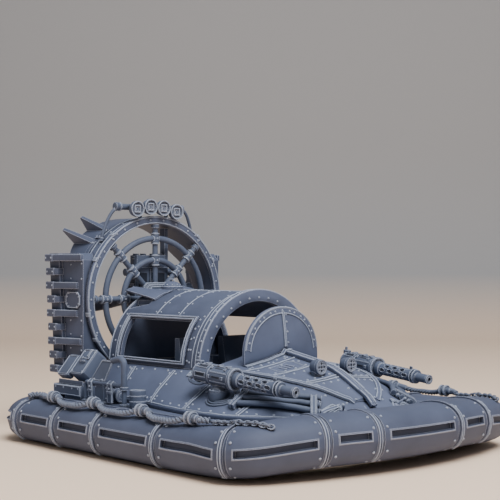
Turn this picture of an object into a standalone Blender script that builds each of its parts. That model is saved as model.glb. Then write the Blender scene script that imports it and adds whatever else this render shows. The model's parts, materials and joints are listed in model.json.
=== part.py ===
"""Tabletop model of an armed hovercraft: inflated skirt, decked hull, barrel-roofed cabin, ducted fan aft.

Metres, +Z up, +X to the bow, +Y to port. The origin is on the table under the middle of the model.
Lengths below are written in millimetres and multiplied by MM where a mesh is made.
"""
import bpy
import bmesh
from math import sin, cos, pi, radians, sqrt, atan2, hypot, acos
from mathutils import Vector, Matrix

MM = 0.001

# skirt: outer plan line and tube section
HALF_WIDTH = 60.0
BOW_X = 74.9
BOW_RADIUS = 138.0
BOW_CORNER = 16.0
STERN_X = -68.4
STERN_RADIUS = 330.0
STERN_CORNER = 14.0
INNER_CORNER = 1.6
TUBE_HALF_WIDTH = 9.2
TUBE_SIDE_HEIGHT = 14.3
TUBE_BOW_HEIGHT = 14.4
BOW_LIFT = 3.2
BAND_WIDTH = 2.4
BAND_RAISE = 0.45
SLOT_HALF = 1.0
SLOT_DEPTH = 1.3
SLOT_INSET = 2.4
SLOT_LEVEL = 0.19
SIDE_BANDS = (-49.7, -27.0, -4.6, 25.5, 55.0)
BOW_BANDS = (17.2, 34.5)
STERN_BANDS = (20.0,)

# seats between touching pieces
GAP = 0.2

# deck and hull
DECK_TOP = 13.4
DECK_THICK = 1.2
HULL_BASE = DECK_TOP + GAP
HULL_FLANGE = 1.0
HULL_REAR = -51.4
CABIN_BASE = 25.2
ARCH_FRONT = 3.7
ARCH_DEPTH = 2.5
ARCH_OUTER = 25.2
ARCH_INNER = 21.4
CABIN_REAR = -47.0
CABIN_OUTER = 24.5
CABIN_INNER = 23.0
BEAM_WIDTH = 3.2
BEAM_RISE = 0.9
CHINE_LIP = 0.5

# fan
FAN_Z = 46.3
RIM_X = -52.0
RIM_DEPTH = 1.4
RIM_OUTER = 30.0
RIM_INNER = 27.2
CASING_OUTER = 29.5
CASING_INNER = 27.4
CASING_REAR_LOW = -65.4
CASING_REAR_HIGH = -73.8
GUARD_X = -53.2
GUARD_RINGS = (21.8, 13.9)
PIPE = 1.1
SPOKE = 1.0
COLLAR = 1.5
FAN_X = -63.2
FAN_RADIUS = 25.6

# guns
GUN_X = 21.0
GUN_Y = 31.6
GUN_Z = 25.1
GUN_TOE = 5.0
GUN_DROP = 5.0

for item in list(bpy.data.objects):
    bpy.data.objects.remove(item, do_unlink=True)


def material(name, colour, rough, metal=0.0):
    mat = bpy.data.materials.new(name)
    mat.use_nodes = True
    shader = mat.node_tree.nodes["Principled BSDF"]
    shader.inputs["Base Color"].default_value = (*colour, 1.0)
    shader.inputs["Roughness"].default_value = rough
    shader.inputs["Metallic"].default_value = metal
    mat.diffuse_color = (*colour, 1.0)
    return mat


SKIRT_GREY = material("skirt_grey", (0.115, 0.140, 0.185), 0.55)
HULL_GREY = material("hull_grey", (0.120, 0.145, 0.190), 0.52)
PANEL_GREY = material("panel_grey", (0.125, 0.150, 0.195), 0.50)
GUN_GREY = material("gun_grey", (0.110, 0.132, 0.172), 0.48)
KIT_GREY = material("kit_grey", (0.118, 0.142, 0.185), 0.60)


def finish(obj, mat, angle=32.0):
    obj.data.materials.clear()
    obj.data.materials.append(mat)
    obj.data.shade_smooth()
    obj.data.set_sharp_from_angle(angle=radians(angle))
    return obj


def add_mesh(name, verts, faces, at=(0.0, 0.0, 0.0)):
    """Makes an object from millimetre points; `at` is its origin, also in millimetres."""
    mesh = bpy.data.meshes.new(name)
    origin = Vector(at)
    mesh.from_pydata([(Vector(v) - origin) * MM for v in verts], [], faces)
    bm = bmesh.new()
    bm.from_mesh(mesh)
    bmesh.ops.recalc_face_normals(bm, faces=bm.faces)
    bm.to_mesh(mesh)
    bm.free()
    obj = bpy.data.objects.new(name, mesh)
    obj.location = origin * MM
    bpy.context.collection.objects.link(obj)
    return obj


def loft(name, rings, closed=False, at=(0.0, 0.0, 0.0)):
    """Skins rings of equal length; an open run gets a cap on each end."""
    count = len(rings[0])
    verts = [p for ring in rings for p in ring]
    faces = []
    spans = len(rings) if closed else len(rings) - 1
    for i in range(spans):
        a = i * count
        b = ((i + 1) % len(rings)) * count
        for j in range(count):
            k = (j + 1) % count
            faces.append((a + j, a + k, b + k, b + j))
    if not closed:
        faces.append(tuple(range(count)))
        faces.append(tuple(range((len(rings) - 1) * count, len(rings) * count)))
    return add_mesh(name, verts, faces, at)


def box(name, low, high, at=None):
    """A box from its low corner to its high corner."""
    x0, y0, z0 = low
    x1, y1, z1 = high
    rings = []
    for x in (x0, x1):
        rings.append([(x, y0, z0), (x, y1, z0), (x, y1, z1), (x, y0, z1)])
    return loft(name, rings, at=at or ((x0 + x1) / 2, (y0 + y1) / 2, (z0 + z1) / 2))


def frame_along(points, closed=False):
    """Side and up vectors for each point of a path, without twist about it."""
    out = []
    last = None
    n = len(points)
    for i in range(n):
        if closed:
            d = Vector(points[(i + 1) % n]) - Vector(points[i - 1])
        else:
            d = Vector(points[min(i + 1, n - 1)]) - Vector(points[max(i - 1, 0)])
        d.normalize()
        seed = last if last is not None else (Vector((0, 0, 1)) if abs(d.z) < 0.9 else Vector((0, 1, 0)))
        up = (seed - d * seed.dot(d)).normalized()
        side = d.cross(up)
        last = up
        out.append((side, up))
    return out


def pipe(name, points, radii, sides=8, closed=False, at=(0.0, 0.0, 0.0)):
    """A round bar along a path; radii is one number or one for each point."""
    if not hasattr(radii, "__len__"):
        radii = [radii] * len(points)
    rings = []
    for p, r, (side, up) in zip(points, radii, frame_along(points, closed)):
        ring = []
        for j in range(sides):
            a = 2 * pi * (j + 0.5) / sides
            ring.append(tuple(Vector(p) + side * (r * cos(a)) + up * (r * sin(a))))
        rings.append(ring)
    return loft(name, rings, closed, at)


def turned(name, profile, centre, sides=24, axis="X", at=None):
    """Turns (along, radius) pairs about an axis through centre; radius 0 ends close to a point."""
    rings = []
    for along, r in profile:
        ring = []
        for j in range(sides):
            a = 2 * pi * (j + 0.5) / sides
            u = max(r, 0.0) * cos(a)
            v = max(r, 0.0) * sin(a)
            if axis == "X":
                ring.append((centre[0] + along, centre[1] + u, centre[2] + v))
            elif axis == "Y":
                ring.append((centre[0] + u, centre[1] + along, centre[2] + v))
            else:
                ring.append((centre[0] + u, centre[1] + v, centre[2] + along))
        rings.append(ring)
    return loft(name, rings, at=at or centre)


def ring_body(name, profile, centre, sides=48, shift=None):
    """Turns a closed (x, radius) outline about the X axis; shift bends x by height."""
    rings = []
    for j in range(sides):
        a = 2 * pi * j / sides
        ring = []
        for x, r in profile:
            y = r * sin(a)
            z = r * cos(a)
            dx = shift(x, z) if shift else 0.0
            ring.append((centre[0] + x + dx, centre[1] + y, centre[2] + z))
        rings.append(ring)
    return loft(name, rings, closed=True, at=centre)


def combine(base, tools, operation="UNION"):
    """Applies the tools to base one by one and removes them."""
    for tool in tools:
        mod = base.modifiers.new("combine", "BOOLEAN")
        mod.operation = operation
        mod.solver = "EXACT"
        mod.object = tool
        bpy.context.view_layer.update()
        graph = bpy.context.evaluated_depsgraph_get()
        mesh = bpy.data.meshes.new_from_object(base.evaluated_get(graph))
        base.modifiers.clear()
        old = base.data
        base.data = mesh
        bpy.data.meshes.remove(old)
        bpy.data.objects.remove(tool, do_unlink=True)
    return base


def spline(table, x):
    """A smooth curve through the table's points."""
    if x <= table[0][0]:
        return table[0][1]
    for i in range(len(table) - 1):
        x0, y0 = table[i]
        x1, y1 = table[i + 1]
        if x <= x1:
            before = table[i - 1] if i > 0 else (2 * x0 - x1, 2 * y0 - y1)
            after = table[i + 2] if i + 2 < len(table) else (2 * x1 - x0, 2 * y1 - y0)
            m0 = (y1 - before[1]) / (x1 - before[0])
            m1 = (after[1] - y0) / (after[0] - x0)
            h = x1 - x0
            t = (x - x0) / h
            return ((2 * t ** 3 - 3 * t ** 2 + 1) * y0 + (t ** 3 - 2 * t ** 2 + t) * h * m0
                    + (-2 * t ** 3 + 3 * t ** 2) * y1 + (t ** 3 - t ** 2) * h * m1)
    return table[-1][1]


class Plan:
    """A closed plan line, walked from the stern's middle along starboard to the bow and back along port.

    It is inset from the skirt's outer line: gentle arcs across the ends, straight sides, rounded corners.
    """

    def __init__(self, inset, bow_corner, stern_corner):
        self.half_width = HALF_WIDTH - inset
        self.bow_x = BOW_X - inset
        self.stern_x = STERN_X + inset
        self.bow_radius = BOW_RADIUS - inset
        self.stern_radius = STERN_RADIUS - inset
        bow_turn = acos((self.half_width - bow_corner) / (self.bow_radius - bow_corner))
        stern_turn = acos((self.half_width - stern_corner) / (self.stern_radius - stern_corner))
        self.side_front = self.bow_x - self.bow_radius + (self.bow_radius - bow_corner) * sin(bow_turn)
        stern_arm = self.stern_radius - stern_corner
        self.side_rear = self.stern_x + self.stern_radius - stern_arm * sin(stern_turn)
        self.parts = [(self.stern_radius, pi / 2 - stern_turn), (stern_corner, stern_turn),
                      (None, 0.0), (bow_corner, bow_turn), (self.bow_radius, pi / 2 - bow_turn)]
        self.lengths = [self.stern_radius * (pi / 2 - stern_turn), stern_corner * stern_turn,
                        self.side_front - self.side_rear, bow_corner * bow_turn,
                        self.bow_radius * (pi / 2 - bow_turn)]
        self.ends = [sum(self.lengths[:i + 1]) for i in range(5)]
        self.half = self.ends[4]

    def at(self, s):
        """Point at arc length s from the stern's middle; past the bow it is mirrored."""
        s = s % (2 * self.half)
        port = s > self.half
        if port:
            s = 2 * self.half - s
        x = self.stern_x
        y = 0.0
        heading = -pi / 2
        for (radius, amount), length in zip(self.parts, self.lengths):
            run = min(max(s, 0.0), length)
            if radius is None:
                x += run * cos(heading)
                y += run * sin(heading)
            else:
                turn = run / radius
                x += radius * (sin(heading + turn) - sin(heading))
                y += radius * (cos(heading) - cos(heading + turn))
                heading += turn
            s -= run
            if s <= 1e-9:
                break
        return (x, -y if port else y)

    def find(self, test):
        """First s on the starboard half where test(point) turns true."""
        steps = 4000
        for i in range(steps + 1):
            s = self.half * i / steps
            if test(self.at(s)):
                return s
        return self.half


TUBE_WIDTH = 2 * TUBE_HALF_WIDTH
PLAN = Plan(0.0, BOW_CORNER, STERN_CORNER)
INNER = Plan(TUBE_WIDTH, INNER_CORNER, INNER_CORNER)
SIDE_END = PLAN.ends[2]
NEAR_CORNER = 13.0


def pairing():
    """Knots (outer s, inner s) that match the outer line to the tube's inner line."""
    stern = PLAN.ends[0] - NEAR_CORNER
    side_a = PLAN.ends[1] + NEAR_CORNER
    side_b = PLAN.ends[2] - NEAR_CORNER
    bow = PLAN.ends[3] + NEAR_CORNER
    inner_a = INNER.ends[1] + PLAN.side_rear + NEAR_CORNER - INNER.side_rear
    inner_b = INNER.ends[1] + PLAN.side_front - NEAR_CORNER - INNER.side_rear
    inner_bow = INNER.half - (PLAN.half - bow) / PLAN.bow_radius * INNER.bow_radius
    return ((0.0, 0.0), (stern, stern / PLAN.stern_radius * INNER.stern_radius), (PLAN.ends[0], INNER.ends[0]),
            (PLAN.ends[1], INNER.ends[1]), (side_a, inner_a), (side_b, inner_b), (PLAN.ends[2], INNER.ends[2]),
            (PLAN.ends[3], INNER.ends[3]), (bow, inner_bow), (PLAN.half, INNER.half))


PAIRS = pairing()


def across_tube(s, inset):
    """Plan point at `inset` millimetres in from the outer line, towards the matching inner point."""
    s = s % (2 * PLAN.half)
    port = s > PLAN.half
    if port:
        s = 2 * PLAN.half - s
    inner_s = INNER.half
    for (a, c), (b, d) in zip(PAIRS, PAIRS[1:]):
        if s <= b:
            inner_s = c + (d - c) * (s - a) / (b - a)
            break
    ox, oy = PLAN.at(s)
    ix, iy = INNER.at(inner_s)
    t = inset / TUBE_WIDTH
    x = ox + (ix - ox) * t
    y = oy + (iy - oy) * t
    return (x, -y if port else y)


def tube_height(s):
    """Height of the tube at s, a little more round the bow."""
    s = s % (2 * PLAN.half)
    if s > PLAN.half:
        s = 2 * PLAN.half - s
    t = min(max((s - SIDE_END) / (BOW_CORNER * 1.6), 0.0), 1.0)
    t = t * t * (3 - 2 * t)
    return TUBE_SIDE_HEIGHT + (TUBE_BOW_HEIGHT - TUBE_SIDE_HEIGHT) * t


def tube_lift(s):
    """How far the tube's underside stands off the table at s; only the bow is raised."""
    s = s % (2 * PLAN.half)
    if s > PLAN.half:
        s = 2 * PLAN.half - s
    t = min(max((s - SIDE_END + 19.0) / 65.0, 0.0), 1.0)
    return BOW_LIFT * t * t * (3 - 2 * t)


def tube_reach(height, z):
    """Half width of the tube's section at height z over the table."""
    h = height / 2
    u = min(abs(z - h) / h, 1.0)
    return TUBE_HALF_WIDTH * (1 - u ** 2.3) ** (1 / 2.3)


def tube_section(height, raised, slotted):
    """(outward, up) points of the tube's section, from the slot's upper lip over the top and round."""
    h = height / 2
    lift = raised
    mid = SLOT_LEVEL * h
    pts = []
    for z in (mid + SLOT_HALF, mid + SLOT_HALF * 0.86, mid - SLOT_HALF * 0.86, mid - SLOT_HALF):
        reach = tube_reach(height, z + h)
        edge = abs(z - mid) > SLOT_HALF * 0.95
        if slotted and not edge:
            pts.append((reach - SLOT_DEPTH, z))
        else:
            pts.append((reach + lift, z))
    lower = (-34, -57, -79, -101, -126, -160)
    upper = (154, 122, 92, 68, 46, 27)
    for deg in lower + upper:
        a = radians(deg)
        c = cos(a)
        q = sin(a)
        k = 2 / 2.3
        u = (abs(c) ** k) * (1 if c >= 0 else -1) * (TUBE_HALF_WIDTH + lift)
        w = (abs(q) ** k) * (1 if q >= 0 else -1)
        w = w * (h + lift) if w > 0 else w * h
        if deg in (-79, -101):
            w = -h
        pts.append((u, w))
    return pts


def skirt_stations():
    """(s, raise, slotted) for one whole turn, with steps at the bands and at the slots' ends."""
    marks = []
    for y in STERN_BANDS:
        marks.append(PLAN.find(lambda p, y=y: p[1] < -y))
    for x in SIDE_BANDS:
        marks.append(PLAN.find(lambda p, x=x: p[0] > x and p[1] < -HALF_WIDTH + 6))
    for y in reversed(BOW_BANDS):
        marks.append(PLAN.find(lambda p, y=y: p[0] > 50 and p[1] > -y))
    marks.sort()
    marks = marks + [2 * PLAN.half - m for m in reversed(marks)]
    out = []
    step = 0.12
    for i, m in enumerate(marks):
        a = m + BAND_WIDTH / 2
        b = marks[(i + 1) % len(marks)] - BAND_WIDTH / 2
        if b < a:
            b += 2 * PLAN.half
        out.append((m - BAND_WIDTH / 2, BAND_RAISE, False))
        out.append((m + BAND_WIDTH / 2, BAND_RAISE, False))
        out.append((a + step, 0.0, False))
        out.append((a + SLOT_INSET, 0.0, False))
        run_a = a + SLOT_INSET + step
        run_b = b - SLOT_INSET - step
        out.append((run_a, 0.0, True))
        bends = []
        for turnaround in (False, True):
            base = 0.0
            order = list(zip(PLAN.parts, PLAN.lengths))
            for (radius, amount), length in order:
                lo = base
                hi = base + length
                base = hi
                if turnaround:
                    lo, hi = 2 * PLAN.half - hi, 2 * PLAN.half - lo
                if radius is None:
                    cuts = [lo, hi]
                else:
                    n = max(2, int(round(length / (4.4 if radius < 30 else 17.0))))
                    cuts = [lo + (hi - lo) * k / n for k in range(n + 1)]
                bends.extend(cuts)
        bends = bends + [q + 2 * PLAN.half for q in bends]
        last = run_a
        for q in sorted(bends):
            if q > last + 1.2 and q < run_b - 1.2:
                out.append((q, 0.0, True))
                last = q
        out.append((run_b, 0.0, True))
        out.append((b - SLOT_INSET, 0.0, False))
        out.append((b - step, 0.0, False))
    return out


rings = []
for s, raised, slotted in skirt_stations():
    height = tube_height(s)
    ring = []
    for u, w in tube_section(height, raised, slotted):
        x, y = across_tube(s, TUBE_HALF_WIDTH - u)
        ring.append((x, y, tube_lift(s) + height / 2 + w))
    rings.append(ring)
skirt = finish(loft("skirt", rings, closed=True), SKIRT_GREY)

def inset_outline(z, gap):
    """The plan line moved in to clear the tube's inner face at height z."""
    marks = set()
    for base in (PLAN.ends[0], PLAN.ends[1] + NEAR_CORNER, PLAN.ends[2] - NEAR_CORNER, PLAN.ends[3]):
        marks.add(round(base, 4))
    for k in range(9):
        marks.add(round(PLAN.ends[0] - NEAR_CORNER * k / 4, 4))
        marks.add(round(PLAN.ends[3] + NEAR_CORNER * k / 4, 4))
    for k in range(7):
        marks.add(round(PLAN.ends[0] + (PLAN.ends[1] - PLAN.ends[0]) * k / 6, 4))
        marks.add(round(PLAN.ends[2] + (PLAN.ends[3] - PLAN.ends[2]) * k / 6, 4))
        marks.add(round(PLAN.half - (PLAN.half - PLAN.ends[3]) * k / 6, 4))
    marks.add(0.0)
    half = sorted(m for m in marks if m <= PLAN.half)
    whole = half + [2 * PLAN.half - m for m in reversed(half) if 0.0 < m < PLAN.half - 1e-3]
    pts = []
    for s in whole:
        reach = tube_reach(tube_height(s), z - tube_lift(s))
        pts.append(across_tube(s, TUBE_HALF_WIDTH + reach + gap))
    return pts


def slab(name, outline, low, high, at=(0.0, 0.0, 0.0)):
    """A flat plate from a plan outline."""
    return loft(name, [[(x, y, low) for x, y in outline], [(x, y, high) for x, y in outline]], at=at)


deck_line = inset_outline(DECK_TOP - DECK_THICK, BAND_RAISE + 0.3)
deck = finish(slab("deck", deck_line, DECK_TOP - DECK_THICK, DECK_TOP), HULL_GREY)

LOWER_EDGE = ((-52, 30.0), (-20, 34.0), (0, 37.5), (22, 39.3), (36, 35.5), (46, 28.0), (52, 20.0),
              (55.2, 11.0), (56.5, 3.0))
CHINE_EDGE = ((-52, 24.9), (-20, 25.1), (3.7, 25.1), (14, 22.4), (26.5, 20.0), (36.7, 17.2), (45.0, 12.6),
              (50.0, 8.0), (53.0, 2.6))
CHINE_Z = ((-52, 25.0), (3.7, 25.0), (14, 25.0), (26.5, 24.4), (36.7, 23.2), (45.0, 21.2), (50.0, 18.6),
           (53.0, 17.0))
RIDGE_Z = ((3.7, 31.6), (14.9, 31.2), (25.0, 29.6), (33.0, 28.2), (38.5, 26.8), (44.7, 24.0), (50.3, 20.7),
           (53.4, 19.0))


def chine_x(lower_x):
    """Station of the chine point that goes with a station on the lower edge."""
    if lower_x < 36:
        return lower_x
    return 36 + (lower_x - 36) * (53.0 - 36) / (56.5 - 36)


def side_height(x, y):
    """Height of the hull's flared side at (x, y), from the section nearest in x."""
    low = spline(LOWER_EDGE, x)
    cx = chine_x(x)
    top = spline(CHINE_EDGE, cx)
    z0 = HULL_BASE + HULL_FLANGE
    z1 = spline(CHINE_Z, cx)
    return z0 + (low - abs(y)) / (low - top) * (z1 - z0)


stations = [HULL_REAR, -36, -20, 0, 3.7, 9, 14, 20, 26, 31, 36, 40, 44, 47.5, 50.5, 53, 54.8, 55.9, 56.5]
rings = []
for x in stations:
    cx = chine_x(x)
    yb = spline(LOWER_EDGE, x)
    yc = spline(CHINE_EDGE, cx)
    zc = spline(CHINE_Z, cx)
    z1 = HULL_BASE + HULL_FLANGE
    rings.append([(x, -yb, HULL_BASE), (x, yb, HULL_BASE), (x, yb, z1), (cx, yc, zc), (cx, -yc, zc),
                  (x, -yb, z1)])
hull = loft("hull", rings)
tub = box("tub", (CABIN_REAR + 2.0, -20.6, HULL_BASE + 1.6), (2.6, 20.6, 40))
combine(hull, [tub], "DIFFERENCE")
finish(hull, HULL_GREY, 20)



def foredeck_ridge(x):
    """Half width and height of the flat under the ridge beam."""
    return min(BEAM_WIDTH / 2 + 0.2, spline(CHINE_EDGE, x) * 0.45), spline(RIDGE_Z, x) - BEAM_RISE


def foredeck_height(x, y):
    """Height of the foredeck's top at (x, y): a lip at the chine, then a hollow slope up to the ridge."""
    edge = spline(CHINE_EDGE, x)
    low = spline(CHINE_Z, x) + GAP
    half, high = foredeck_ridge(x)
    t = min(max((abs(y) - half) / (edge - half), 0.0), 1.0)
    hollow = min(0.8, 0.13 * (high - low)) * sin(pi * t)
    return low + CHINE_LIP + (high - low - CHINE_LIP) * (1 - t) - hollow


rings = []
for x in [4.0] + [chine_x(x) for x in stations if 3.7 < x <= 54.8]:
    edge = spline(CHINE_EDGE, x)
    low = spline(CHINE_Z, x) + GAP
    half, high = foredeck_ridge(x)
    across = [edge, half + (edge - half) * 0.66, half + (edge - half) * 0.33, half]
    ring = [(x, -edge, low), (x, edge, low)]
    for y in across:
        ring.append((x, y, foredeck_height(x, y)))
    for y in reversed(across):
        ring.append((x, -y, foredeck_height(x, y)))
    rings.append(ring)
foredeck = finish(loft("foredeck", rings), PANEL_GREY, 20)

beam_line = []
for x in [16.6, 20, 26, 31, 36, 39, 42, 45, 48, 50.5, 52.6]:
    beam_line.append((x, spline(RIDGE_Z, x)))
beam_line = beam_line + [(53.9, 18.2), (55.1, 16.9)]
rings = []
for i, (x, z) in enumerate(beam_line):
    a = beam_line[max(i - 1, 0)]
    b = beam_line[min(i + 1, len(beam_line) - 1)]
    d = hypot(b[0] - a[0], b[1] - a[1])
    nx = -(b[1] - a[1]) / d
    nz = (b[0] - a[0]) / d
    w = BEAM_WIDTH / 2 * (1.0 if x < 50 else 0.8)
    low = -(BEAM_RISE - GAP)
    ring = []
    for side, up in ((-w, low), (w, low), (w, 0.35), (w - 0.7, 0.35), (w - 0.7, 0.0), (-w + 0.7, 0.0),
                     (-w + 0.7, 0.35), (-w, 0.35)):
        ring.append((x + nx * up, side, z + nz * up))
    rings.append(ring)
ridge_beam = finish(loft("ridge_beam", rings), PANEL_GREY, 25)

def vault(name, x0, x1, outer, inner, z0, sides=28, at=(0.0, 0.0, 0.0)):
    """Half of a thick tube, standing on z0."""
    ring = []
    for j in range(sides + 1):
        a = pi * j / sides
        ring.append((outer * cos(a), outer * sin(a)))
    for j in range(sides, -1, -1):
        a = pi * j / sides
        ring.append((inner * cos(a), inner * sin(a)))
    rings = [[(x, y, z0 + z) for y, z in ring] for x in (x0, x1)]
    return loft(name, rings, at=at)


WINDOW_REAR = -40.4
WINDOW_FRONT = -6.4
WINDOW_LOW = 27.0
WINDOW_HIGH = 40.0

shell = vault("cabin_shell", CABIN_REAR, ARCH_FRONT - ARCH_DEPTH - GAP, CABIN_OUTER, CABIN_INNER, CABIN_BASE)
opening = box("opening", (WINDOW_REAR, -30, WINDOW_LOW), (WINDOW_FRONT, 30, WINDOW_HIGH))
tools = [opening]
for side in (-1, 1):
    plan = ((-46.0, 12.8), (-37.4, 12.5), (-37.4, 14.5), (-46.0, 16.6))
    tools.append(loft("vent", [[(x, side * y, z) for x, y in plan] for z in (40.5, 60.0)]))
combine(shell, tools, "DIFFERENCE")
finish(shell, HULL_GREY)

arch = vault("cabin_arch", ARCH_FRONT - ARCH_DEPTH, ARCH_FRONT, ARCH_OUTER, ARCH_INNER, CABIN_BASE, 32)
finish(arch, PANEL_GREY)

ring = []
for j in range(25):
    a = pi * j / 24
    ring.append(((CABIN_INNER - GAP) * cos(a), (CABIN_INNER - GAP) * sin(a)))
wall_faces = [[(x, y, CABIN_BASE + z) for y, z in ring] for x in (CABIN_REAR + 0.2, CABIN_REAR + 1.6)]
rear_wall = loft("cabin_bulkhead", wall_faces)
finish(rear_wall, HULL_GREY)


def window_frame(name, side):
    """A bent strip round the side window, lying on the vault's outside."""
    a0 = atan2(WINDOW_LOW - CABIN_BASE, sqrt(CABIN_OUTER ** 2 - (WINDOW_LOW - CABIN_BASE) ** 2))
    a1 = atan2(WINDOW_HIGH - CABIN_BASE, sqrt(CABIN_OUTER ** 2 - (WINDOW_HIGH - CABIN_BASE) ** 2))
    margin = 1.9 / CABIN_OUTER
    over = 0.35 / CABIN_OUTER
    outer_box = (WINDOW_REAR - 1.9, WINDOW_FRONT + 1.9, a0 - margin * 0.35, a1 + margin)
    inner_box = (WINDOW_REAR - 0.35, WINDOW_FRONT + 0.35, a0 + over, a1 + over)

    def loop(bounds, r):
        x0, x1, b0, b1 = bounds
        pts = []
        n = 6
        for i in range(n + 1):
            pts.append((x0, b0 + (b1 - b0) * i / n))
        for i in range(n + 1):
            pts.append((x1, b1 + (b0 - b1) * i / n))
        return [(x, side * r * cos(b), CABIN_BASE + r * sin(b)) for x, b in pts]

    r0 = CABIN_OUTER + GAP
    r1 = CABIN_OUTER + GAP + 0.6
    loops = [loop(outer_box, r0), loop(outer_box, r1), loop(inner_box, r1), loop(inner_box, r0)]
    return loft(name, loops, closed=True)


for label, side in (("starboard", -1), ("port", 1)):
    finish(window_frame("window_frame_" + label, side), PANEL_GREY, 25)

# windscreen: an arched shield that bulges forward
SCREEN_X = 14.2
SCREEN_HALF = 16.0
SCREEN_TOP = 45.2


def screen_surface(y, z):
    """Forward bulge of the shield at (y, z)."""
    w = min(abs(y) / SCREEN_HALF, 1.0)
    h = min(max((z - 29.5) / (SCREEN_TOP - 29.5), 0.0), 1.0)
    return 1.8 * (1 - w ** 1.6) * (1 - 0.75 * h ** 2) - 0.6 * h


columns = 24
rows = 5
front = []
back = []
for i in range(columns + 1):
    y = -SCREEN_HALF + 2 * SCREEN_HALF * i / columns
    y = SCREEN_HALF * sin(pi / 2 * (y / SCREEN_HALF))
    edge = sqrt(max(1 - (y / SCREEN_HALF) ** 2, 0.0))
    high = 29.5 + (SCREEN_TOP - 29.5) * edge ** 0.9
    low = max(foredeck_height(SCREEN_X + 2.6, y), foredeck_height(SCREEN_X - 1.2, y)) + GAP + 0.15
    high = max(high, low + 0.8)
    for k in range(rows + 1):
        z = low + (high - low) * k / rows
        out = screen_surface(y, z)
        front.append((SCREEN_X + out + 0.55, y, z))
        back.append((SCREEN_X + out - 0.55, y, z))
verts = front + back
faces = []
stride = rows + 1
offset = len(front)
for i in range(columns):
    for k in range(rows):
        a = i * stride + k
        faces.append((a, a + stride, a + stride + 1, a + 1))
        faces.append((offset + a, offset + a + 1, offset + a + stride + 1, offset + a + stride))
for i in range(columns):
    a = i * stride
    faces.append((a, offset + a, offset + a + stride, a + stride))
    b = i * stride + rows
    faces.append((b, b + stride, offset + b + stride, offset + b))
for k in range(rows):
    faces.append((k, k + 1, offset + k + 1, offset + k))
    b = columns * stride + k
    faces.append((b, offset + b, offset + b + 1, b + 1))
windscreen = finish(add_mesh("windscreen", verts, faces), PANEL_GREY, 30)

# seats
for label, side in (("starboard", -1), ("port", 1)):
    y0 = side * 9.5
    floor = HULL_BASE + 1.6 + GAP
    outline = ((-19.5, floor), (-9.0, floor), (-9.0, floor + 6.5), (-17.0, floor + 5.8), (-19.2, floor + 18.5),
               (-21.4, floor + 18.5), (-21.4, floor + 2.0))
    rings = [[(x, y0 + w, z) for x, z in outline] for w in (-6.0, 6.0)]
    finish(loft("seat_" + label, rings, at=(-15, y0, floor)), KIT_GREY, 25)


def scoop(name, side):
    """A hood on the roof's rear shoulder, open outboard and aft, that rises to a pointed tip."""
    seat = CABIN_OUTER + GAP
    rings = []
    table = ((-35.8, 0.7, 58, 78), (-38.5, 1.3, 58.5, 78), (-46.6, 3.1, 58.5, 78), (-50.9, 3.7, 59, 66))
    for x, rise, lip, heel in table:
        share = 0.55 if heel > 70 else 0.9
        outer = []
        inner = []
        last = share * 0.6 if heel > 70 else share
        for deg, level in ((lip, 1.0), ((lip + heel) / 2, (1.0 + share) / 2), (heel - 6, last)):
            outer.append((deg, seat + rise * level))
            inner.append((deg, max(seat, seat + rise * level - 0.75)))
        if heel > 70:
            outer.append((heel, seat + 0.5))
            inner.append((heel, seat))
        else:
            outer.append((heel, seat + rise * share))
            inner.append((heel, seat + rise * share - 0.75))
        ring = []
        for deg, r in outer + inner[::-1]:
            a = radians(deg)
            ring.append((x, side * r * cos(a), CABIN_BASE + r * sin(a)))
        rings.append(ring)
    return loft(name, rings, at=(-44, side * 13, 46))


for label, side in (("starboard", -1), ("port", 1)):
    finish(scoop("scoop_" + label, side), PANEL_GREY, 25)

# domed hatch on the roof's rear
roof_top = CABIN_BASE + CABIN_OUTER
hatch = turned("roof_hatch", ((0.0, 3.9), (0.9, 3.9), (0.9, 3.4), (1.9, 2.8), (2.6, 1.4)),
               (-43.1, 0.0, roof_top + GAP), 20, "Z")
finish(hatch, PANEL_GREY)

# headlamps on the foredeck
for label, side in (("starboard", -1), ("port", 1)):
    cx = 37.6
    cy = side * 6.5
    cz = 27.5
    turning = ((-2.2, 1.1), (-1.7, 1.9), (0.6, 2.3), (2.0, 2.3), (2.0, 1.8), (1.5, 1.8))
    drum = turned("headlamp_" + label, turning, (cx, cy, cz), 18, "X")
    foot_ring = []
    for j in range(14):
        a = 2 * pi * j / 14
        foot_ring.append((cx - 0.4 + 1.5 * cos(a), cy + 1.5 * sin(a)))
    foot_low = [(x, y, foredeck_height(x, y) + GAP) for x, y in foot_ring]
    foot_high = [(x, y, cz - 0.9) for x, y in foot_ring]
    foot = loft("foot", [foot_low, foot_high])
    combine(drum, [foot])
    finish(drum, GUN_GREY)

def gun_mount(name, side):
    """A round pedestal whose foot follows the hull's flared side."""
    r_low = 3.2
    r_top = 2.6
    n = 20
    low = []
    mid = []
    top = []
    cap = []
    for j in range(n):
        a = 2 * pi * j / n
        x = GUN_X + r_low * cos(a)
        y = side * GUN_Y + r_low * sin(a)
        low.append((x, y, side_height(x, y) + GAP))
        mid.append((x, y, max(side_height(x, y) + GAP + 0.3, 20.2)))
        top.append((GUN_X + r_top * cos(a), side * GUN_Y + r_top * sin(a), 21.1))
        cap.append((GUN_X + r_top * cos(a), side * GUN_Y + r_top * sin(a), 21.5))
    return loft(name, [low, mid, top, cap], at=(GUN_X, side * GUN_Y, 20))


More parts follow.
